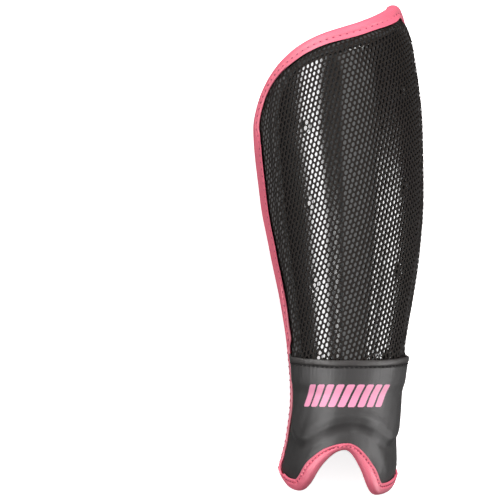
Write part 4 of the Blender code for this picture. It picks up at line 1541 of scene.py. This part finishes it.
@dataclass
class AnkleCuff:
    """The synthetic leather cuff with its folded hem, its stitch row and its printed bars."""

    across: int = 180
    upward: int = 120
    side_inset: float = 5.0 * MM
    foot_inset: float = 2.2 * MM
    girth: float = 75.0 * MM
    crease: float = 1.4 * MM
    crease_place: tuple[float, float] = (6.0 * MM, 4.0 * MM)
    lip_place: tuple[float, float] = (-1.0 * MM, 3.5 * MM)
    gather: float = 0.10 * MM
    gather_fade: float = 5.5 * MM
    hem_thick: float = 1.8 * MM
    hem_channel: tuple[float, float, float] = (1.0 * MM, 1.2 * MM, 0.85 * MM)
    thread_sunk: float = 0.7 * MM
    bars: int = 9
    bar_width: float = 0.76
    bar_slant: float = 0.9
    ink: tuple[float, float] = (0.14 * MM, 0.10 * MM)
    bars_around: tuple[float, float] = (-0.50, 0.37)
    bars_along: tuple[float, float] = (60.0 * MM, 75.5 * MM)

    def side(self, side: int, high: float) -> Array:
        """One long edge of the cuff, from its foot corner up to a height.

        Args:
            side: -1 for the left side, 1 for the right one.
            high: The height where it ends, in metres from the lowest leg tip.

        Returns:
            The edge's (around, along) rows, upwards.
        """
        loop = OUTLINE.inset(self.side_inset + (self.foot_inset - self.side_inset) * OUTLINE.by_foot)
        if side < 0:
            return OUTLINE.part(loop, OUTLINE.at_height(side, high), OUTLINE.arch_start)[::-1]
        return OUTLINE.part(loop, OUTLINE.arch_end, OUTLINE.at_height(side, high))

    def places(self) -> Array:
        """From the arch up to the hem's lower line.

        Returns:
            A grid of (around, along) places.
        """
        u, v = np.linspace(0, 1, self.across + 1), np.linspace(0, 1, self.upward + 1)
        drop = LAYERS.hem_width + 0.1 * MM
        high = float(LAYERS.hem(np.array(1.0))) - drop
        left, right = (OUTLINE.spaced(self.side(s, high), v) for s in (-1, 1))
        foot = OUTLINE.part(OUTLINE.inset(self.foot_inset), OUTLINE.arch_start, OUTLINE.arch_end)
        around = left[-1, 0] + (right[-1, 0] - left[-1, 0]) * u
        top = np.stack([around, LAYERS.hem(around) - drop], axis=1)
        left[-1], right[-1] = top[0], top[-1]
        return coons(OUTLINE.spaced(foot, u), top, left, right)

    def base_lift(self, around: Array, along: Array) -> Array:
        """The cuff's inner face: over foam, shell and the tucked end of the net.

        Args:
            around: Around numbers of the places.
            along: Their distances in metres from the lowest leg tip.

        Returns:
            The lift in metres.
        """
        start = LAYERS.hem(around) - LAYERS.tuck - LAYERS.tuck_hold - LAYERS.tuck_ramp
        tucked = smooth((along - start) / LAYERS.tuck_ramp)
        over = DISTANCES.net_lift(around, along, LAYERS.cuff_lead)
        return over + LAYERS.cuff_slack + (LAYERS.net + LAYERS.gap) * tucked

    def creases(self, around: Array, along: Array) -> Array:
        """Folds of the cuff, in metres.

        A dent follows the shell's lower border a few millimetres outside it, the cloth is
        gathered in upright pleats under the hem, and slow waves run slantwise over the legs.
        All of them die out at the binding.

        Args:
            around: Around numbers of the places.
            along: Their distances in metres from the lowest leg tip.

        Returns:
            Heights above the plain cuff, in metres.
        """
        outside = DISTANCES.read(DISTANCES.shell, around, along)
        under = along < LAYERS.shell_arch[0] + 12 * MM
        over_arch = 1.0 - smooth((np.abs(around) - 0.36) / 0.24)
        off, wide = self.crease_place
        dent = -self.crease * bell(outside - off, wide) * under * over_arch
        off, wide = self.lip_place
        lip = 0.3 * self.crease * bell(outside - off, wide) * under * over_arch
        arc = around * self.girth
        below = np.maximum(LAYERS.hem(around) - LAYERS.hem_width - along, 0)
        pleats = self.gather * waves(arc, 3, 7, 4.2 * MM, 1.9 * MM) * np.exp(-below / self.gather_fade)
        slant = arc * 0.8 + along * 0.6 * np.sign(around)
        on_legs = 1 - smooth((along - 40 * MM) / (25 * MM))
        slow = 0.35 * MM * waves(slant, 5, 5, 0.034, 0.013) * on_legs
        slow += 0.12 * MM * waves(arc - along * 0.3, 9, 5, 0.030, 0.009)
        room = smooth((DISTANCES.read(DISTANCES.edge, around, along) - 5.0 * MM) / (7 * MM))
        return (dent + lip + slow) * room + pleats

    def outer_lift(self, around: Array, along: Array) -> Array:
        """The cuff's outer face, which the print lies on."""
        return self.base_lift(around, along) + LAYERS.cuff + self.creases(around, along)

    def build_cuff(self, leather: bpy.types.Material) -> bpy.types.Object:
        """The cuff as a closed sheet of even thickness.

        Args:
            leather: Its finish.

        Returns:
            The piece.
        """
        places = self.places()
        around, along = places[..., 0], places[..., 1]
        lift = self.outer_lift(around, along)
        inner = FORM.lifted(around, along, lift - LAYERS.cuff)
        cuff = slab("leather_cuff", FORM.lifted(around, along, lift), inner)
        finish_piece(cuff, leather, "ankle_cuff")
        return cuff

    def hem_ends(self) -> tuple[float, float]:
        """The around numbers where the hem meets the bindings."""
        high = float(LAYERS.hem(np.array(1.0)))
        return tuple(float(self.side(s, high)[-1, 0]) for s in (-1, 1))

    def build_hem(self, leather: bpy.types.Material) -> bpy.types.Object:
        """The folded hem: a flat oval section with a stitched channel near its lower edge.

        Args:
            leather: Its finish.

        Returns:
            The piece.
        """
        left, right = self.hem_ends()
        around = np.linspace(left, right, 420)
        turn = np.linspace(0, 2 * math.pi, 44, endpoint=False)
        flat_x, flat_z = np.cos(turn), np.sin(turn)
        half = LAYERS.hem_width / 2
        x = half * np.sign(flat_x) * np.abs(flat_x) ** 0.55
        z = self.hem_thick / 2 * np.sign(flat_z) * np.abs(flat_z) ** 0.7
        arc = around * self.girth
        swell = 1.0 + 0.10 * waves(arc, 13, 6, 0.012, 0.0035)[:, None]
        top = z[None] * np.where(z[None] > 0, swell, 1.0)
        deep, off, wide = self.hem_channel
        top = top - deep * bell(x[None] + half - off, wide) * (z[None] > 0)
        middle = LAYERS.hem(around)[:, None] - half
        along = middle + x[None] + 0.15 * MM * waves(arc, 17, 5, 0.05, 0.01)[:, None]
        here = np.broadcast_to(around[:, None], along.shape)
        base = self.base_lift(here, np.broadcast_to(middle, along.shape))
        rings = FORM.lifted(here, along, base + self.hem_thick / 2 + top)
        uv = np.stack([np.broadcast_to(arc[:, None], along.shape), along], axis=2)
        hem = sweep("folded_hem", rings, uv, sharp=60.0)
        finish_piece(hem, leather, "cuff_hem")
        return hem

    def hem_stitches(self) -> tuple[Array, Array]:
        """Places and lifts of the stitches along the hem's lower edge.

        Returns:
            The (around, along) rows, and the lift at each.
        """
        left, right = self.hem_ends()
        around = np.linspace(left + 0.03, right - 0.03, 300)
        along = LAYERS.hem(around) - LAYERS.hem_width + self.hem_channel[1]
        base = self.base_lift(around, LAYERS.hem(around) - LAYERS.hem_width / 2)
        return np.stack([around, along], axis=1), base + self.hem_thick - self.thread_sunk

    def build_print(self, ink: bpy.types.Material) -> list[bpy.types.Object]:
        """A row of slanted bars as raised ink: each is a grid, sheared by its height.

        Args:
            ink: Its finish.

        Returns:
            The bars, from left to right.
        """
        pieces = []
        start, end = self.bars_around
        low, high = self.bars_along
        pitch = (end - start) / self.bars
        for i in range(self.bars):
            u, v = np.meshgrid(np.linspace(0, 1, 13), np.linspace(0, 1, 29))
            # Rounded corners: each row narrows near its two ends by a quarter circle.
            to_end = np.clip(np.abs(v * 2 - 1) * 7.75 - 6.75, 0, 1)
            tight = 1.0 - np.sqrt(np.clip(1.0 - to_end**2, 0, 1))
            width = pitch * self.bar_width * (1 - 0.35 * tight)
            middle = start + pitch * (i + 0.5) + (v - 0.5) * pitch * self.bar_slant
            around, along = middle + width * (u - 0.5), low + (high - low) * v
            lift = self.outer_lift(around, along)
            outer = FORM.lifted(around, along, lift + self.ink[0])
            bar = slab(f"printed_bar_{i}", outer, FORM.lifted(around, along, lift - self.ink[1]))
            finish_piece(bar, ink)
            pieces.append(bar)
        return pieces


@dataclass
class Studio:
    """A pale floor, strip lights that show in the gloss alone, two soft lights and the camera.

    A strip's row holds its name, the degrees round the length where it starts and ends, its two
    ends along the guard, its tilt in degrees and its radiance. A soft light's row holds its name,
    place, radiance and whether the gloss shows it.
    """

    roll: float = 14.0
    distance: float = 3.0
    field: float = 0.3375
    aim: tuple[float, float] = (-0.0590, -0.00026)
    strip_distance: float = 1.1
    strips: tuple[tuple[str, float, float, float, float, float, float], ...] = (
        ("strip_left", -67.0, -42.0, -0.9, 0.9, 18.0, 26.0),
        ("strip_right", 48.0, 74.0, -1.0, 0.03, 0.0, 26.0),
        ("ceiling", -22.0, 32.0, -0.9, 0.5, 0.0, 2.8),
        ("ceiling_right", 32.0, 47.5, -0.9, 0.5, 0.0, 1.6),
    )
    soft_size: tuple[float, float] = (0.8, 0.8)
    softs: tuple[tuple[str, tuple[float, float, float], float, bool], ...] = (
        ("soft_top", (0.18, 1.15, 1.37), 17.5, True),
        ("soft_left", (-1.25, 0.05, 0.42), 3.4, False),
    )
    floor_half: float = 3.0
    floor_glow: float = 0.75
    world_glow: float = 0.33
    lens_height: float = 0.04

    @staticmethod
    def light(name: str, place: Vector, size: tuple[float, float], radiance: float) -> bpy.types.Object:
        """An area light that faces the length axis, of an even radiance, its long side along Y.

        Args:
            name: Its name.
            place: Where it stands.
            size: Its two sides, in metres.
            radiance: Its radiance.

        Returns:
            The light.
        """
        data = bpy.data.lights.new(name, "AREA")
        data.shape, data.size, data.size_y = "RECTANGLE", *size
        data.energy = radiance * math.pi * size[0] * size[1]
        light = bpy.data.objects.new(name, data)
        back = place.normalized()
        side = Vector((0, 1, 0)).cross(back).normalized()
        axes = Matrix((side, back.cross(side), back)).transposed().to_4x4()
        light.matrix_world = Matrix.Translation(place) @ axes
        bpy.context.scene.collection.objects.link(light)
        return light

    def build(self) -> None:
        """Sets up floor, world, lights and camera."""
        corners = np.array([(-1, -1, 0), (1, -1, 0), (1, 1, 0), (-1, 1, 0)], float)
        floor = new_piece("floor", corners * self.floor_half, [np.array([[0, 1, 2, 3]])])
        paper, _, shader = new_material("matt_white_paper", "#f4f4f4", {"Roughness": 0.9})
        shader.inputs["Emission Color"].default_value = (1, 1, 1, 1)
        shader.inputs["Emission Strength"].default_value = self.floor_glow
        floor.data.materials.append(paper)
        floor.visible_glossy = floor.visible_diffuse = False
        world = bpy.data.worlds.new("studio")
        world.use_nodes = True
        background = world.node_tree.nodes["Background"]
        background.inputs["Color"].default_value = (1, 1, 1, 1)
        background.inputs["Strength"].default_value = self.world_glow
        bpy.context.scene.world = world
        for name, start, end, low, high, tilt, radiance in self.strips:
            turn, half = math.radians(start + end) / 2, math.radians(end - start) / 2
            place = Vector((math.sin(turn), 0, math.cos(turn))) * self.strip_distance
            size = (2 * self.strip_distance * math.tan(half), high - low)
            strip = self.light(name, place, size, radiance)
            strip.matrix_world = strip.matrix_world @ Matrix.Rotation(math.radians(tilt), 4, "Z")
            strip.location.y += (low + high) / 2
            strip.visible_diffuse = strip.visible_camera = False
        for name, place, radiance, in_gloss in self.softs:
            self.light(name, Vector(place), self.soft_size, radiance).visible_glossy = in_gloss
        bpy.context.scene.view_settings.view_transform = "Standard"
        self._camera()

    def _camera(self) -> None:
        """A long lens at the photograph's angle: above the front, rolled round the length."""
        roll = math.radians(self.roll)
        back = Vector((-math.sin(roll), 0, math.cos(roll)))
        right = Vector((math.cos(roll), 0, math.sin(roll)))
        up = Vector((0, 1, 0))
        data = bpy.data.cameras.new("camera")
        data.lens = 36.0 * self.distance / self.field
        data.clip_end = 20
        camera = bpy.data.objects.new("camera", data)
        middle = right * self.aim[0] + up * self.aim[1] + back * self.lens_height
        axes = Matrix((right, up, back)).transposed().to_4x4()
        camera.matrix_world = Matrix.Translation(middle + back * self.distance) @ axes
        bpy.context.scene.collection.objects.link(camera)
        bpy.context.scene.camera = camera


def main() -> None:
    """Builds the finishes, then each sub-assembly in the order it is sewn, then the studio."""
    foam, plastic, yarn = EvaFoam().make(), MouldedShell().make(), KnittedNet().make()
    leather = SyntheticLeather("pu_leather_cuff").make()
    # The hem's leather is a lighter copy of the cuff's: painted light on the raised fold.
    lit_hem_leather = SyntheticLeather("pu_leather_hem_painted_highlight", "#33302f").make()
    tape = WovenTape().make()
    # The tape's thread is a darker pink than the tape: painted shade of the sunken needle holes.
    shaded_pink_thread = PlainFinish("polyester_thread_pink_painted_shade", "#9c3a55", 0.5).make()
    black_thread = PlainFinish("polyester_thread_black", "#0e0d0d", 0.55).make()
    ink = PlainFinish("screen_ink_pink", "#f49bbd", 0.45).make()

    vents = Vents()
    FoamLiner().build(vents, foam)
    HardShell().build(vents, plastic)
    NetCover().build(yarn)

    binding, arch_binding = BindingTape(), BindingTape(pitch=2.9 * MM)
    left_seam, right_seam = OUTLINE.arch_start - OUTLINE.seam, OUTLINE.arch_end + OUTLINE.seam
    half_gap = 0.1 * MM
    whole = left_seam - half_gap + OUTLINE.total
    span = right_seam + half_gap, whole
    binding.build("edge_tape", "edge_binding", *span, 0.9 * MM, 21, tape)
    span = left_seam + half_gap, right_seam - half_gap
    arch_binding.build("arch_tape", "arch_binding", *span, 0.6 * MM, 31, tape)
    row = binding.stitch_line(right_seam + 2 * MM, whole - 2 * MM)
    stitches = Stitches(binding.pitch, 1.9 * MM, 0.8 * MM)
    stitches.build("edge_stitches", *row, shaded_pink_thread, Slot.TAPE)
    row = arch_binding.stitch_line(left_seam + 2 * MM, right_seam - 2 * MM)
    stitches = Stitches(arch_binding.pitch, 1.6 * MM, 0.8 * MM)
    stitches.build("arch_stitches", *row, shaded_pink_thread, Slot.TAPE)

    cuff = AnkleCuff()
    body = cuff.build_cuff(leather)
    hem = cuff.build_hem(lit_hem_leather)
    stitches = Stitches(3.4 * MM, 2.8 * MM, 1.0 * MM)
    hem_row = stitches.build("hem_stitches", *cuff.hem_stitches(), black_thread, Slot.HEM)
    bars = cuff.build_print(ink)

    Studio().build()


if __name__ == "__main__":
    logging.basicConfig(level=logging.INFO, format="%(name)s: %(message)s")
    main()
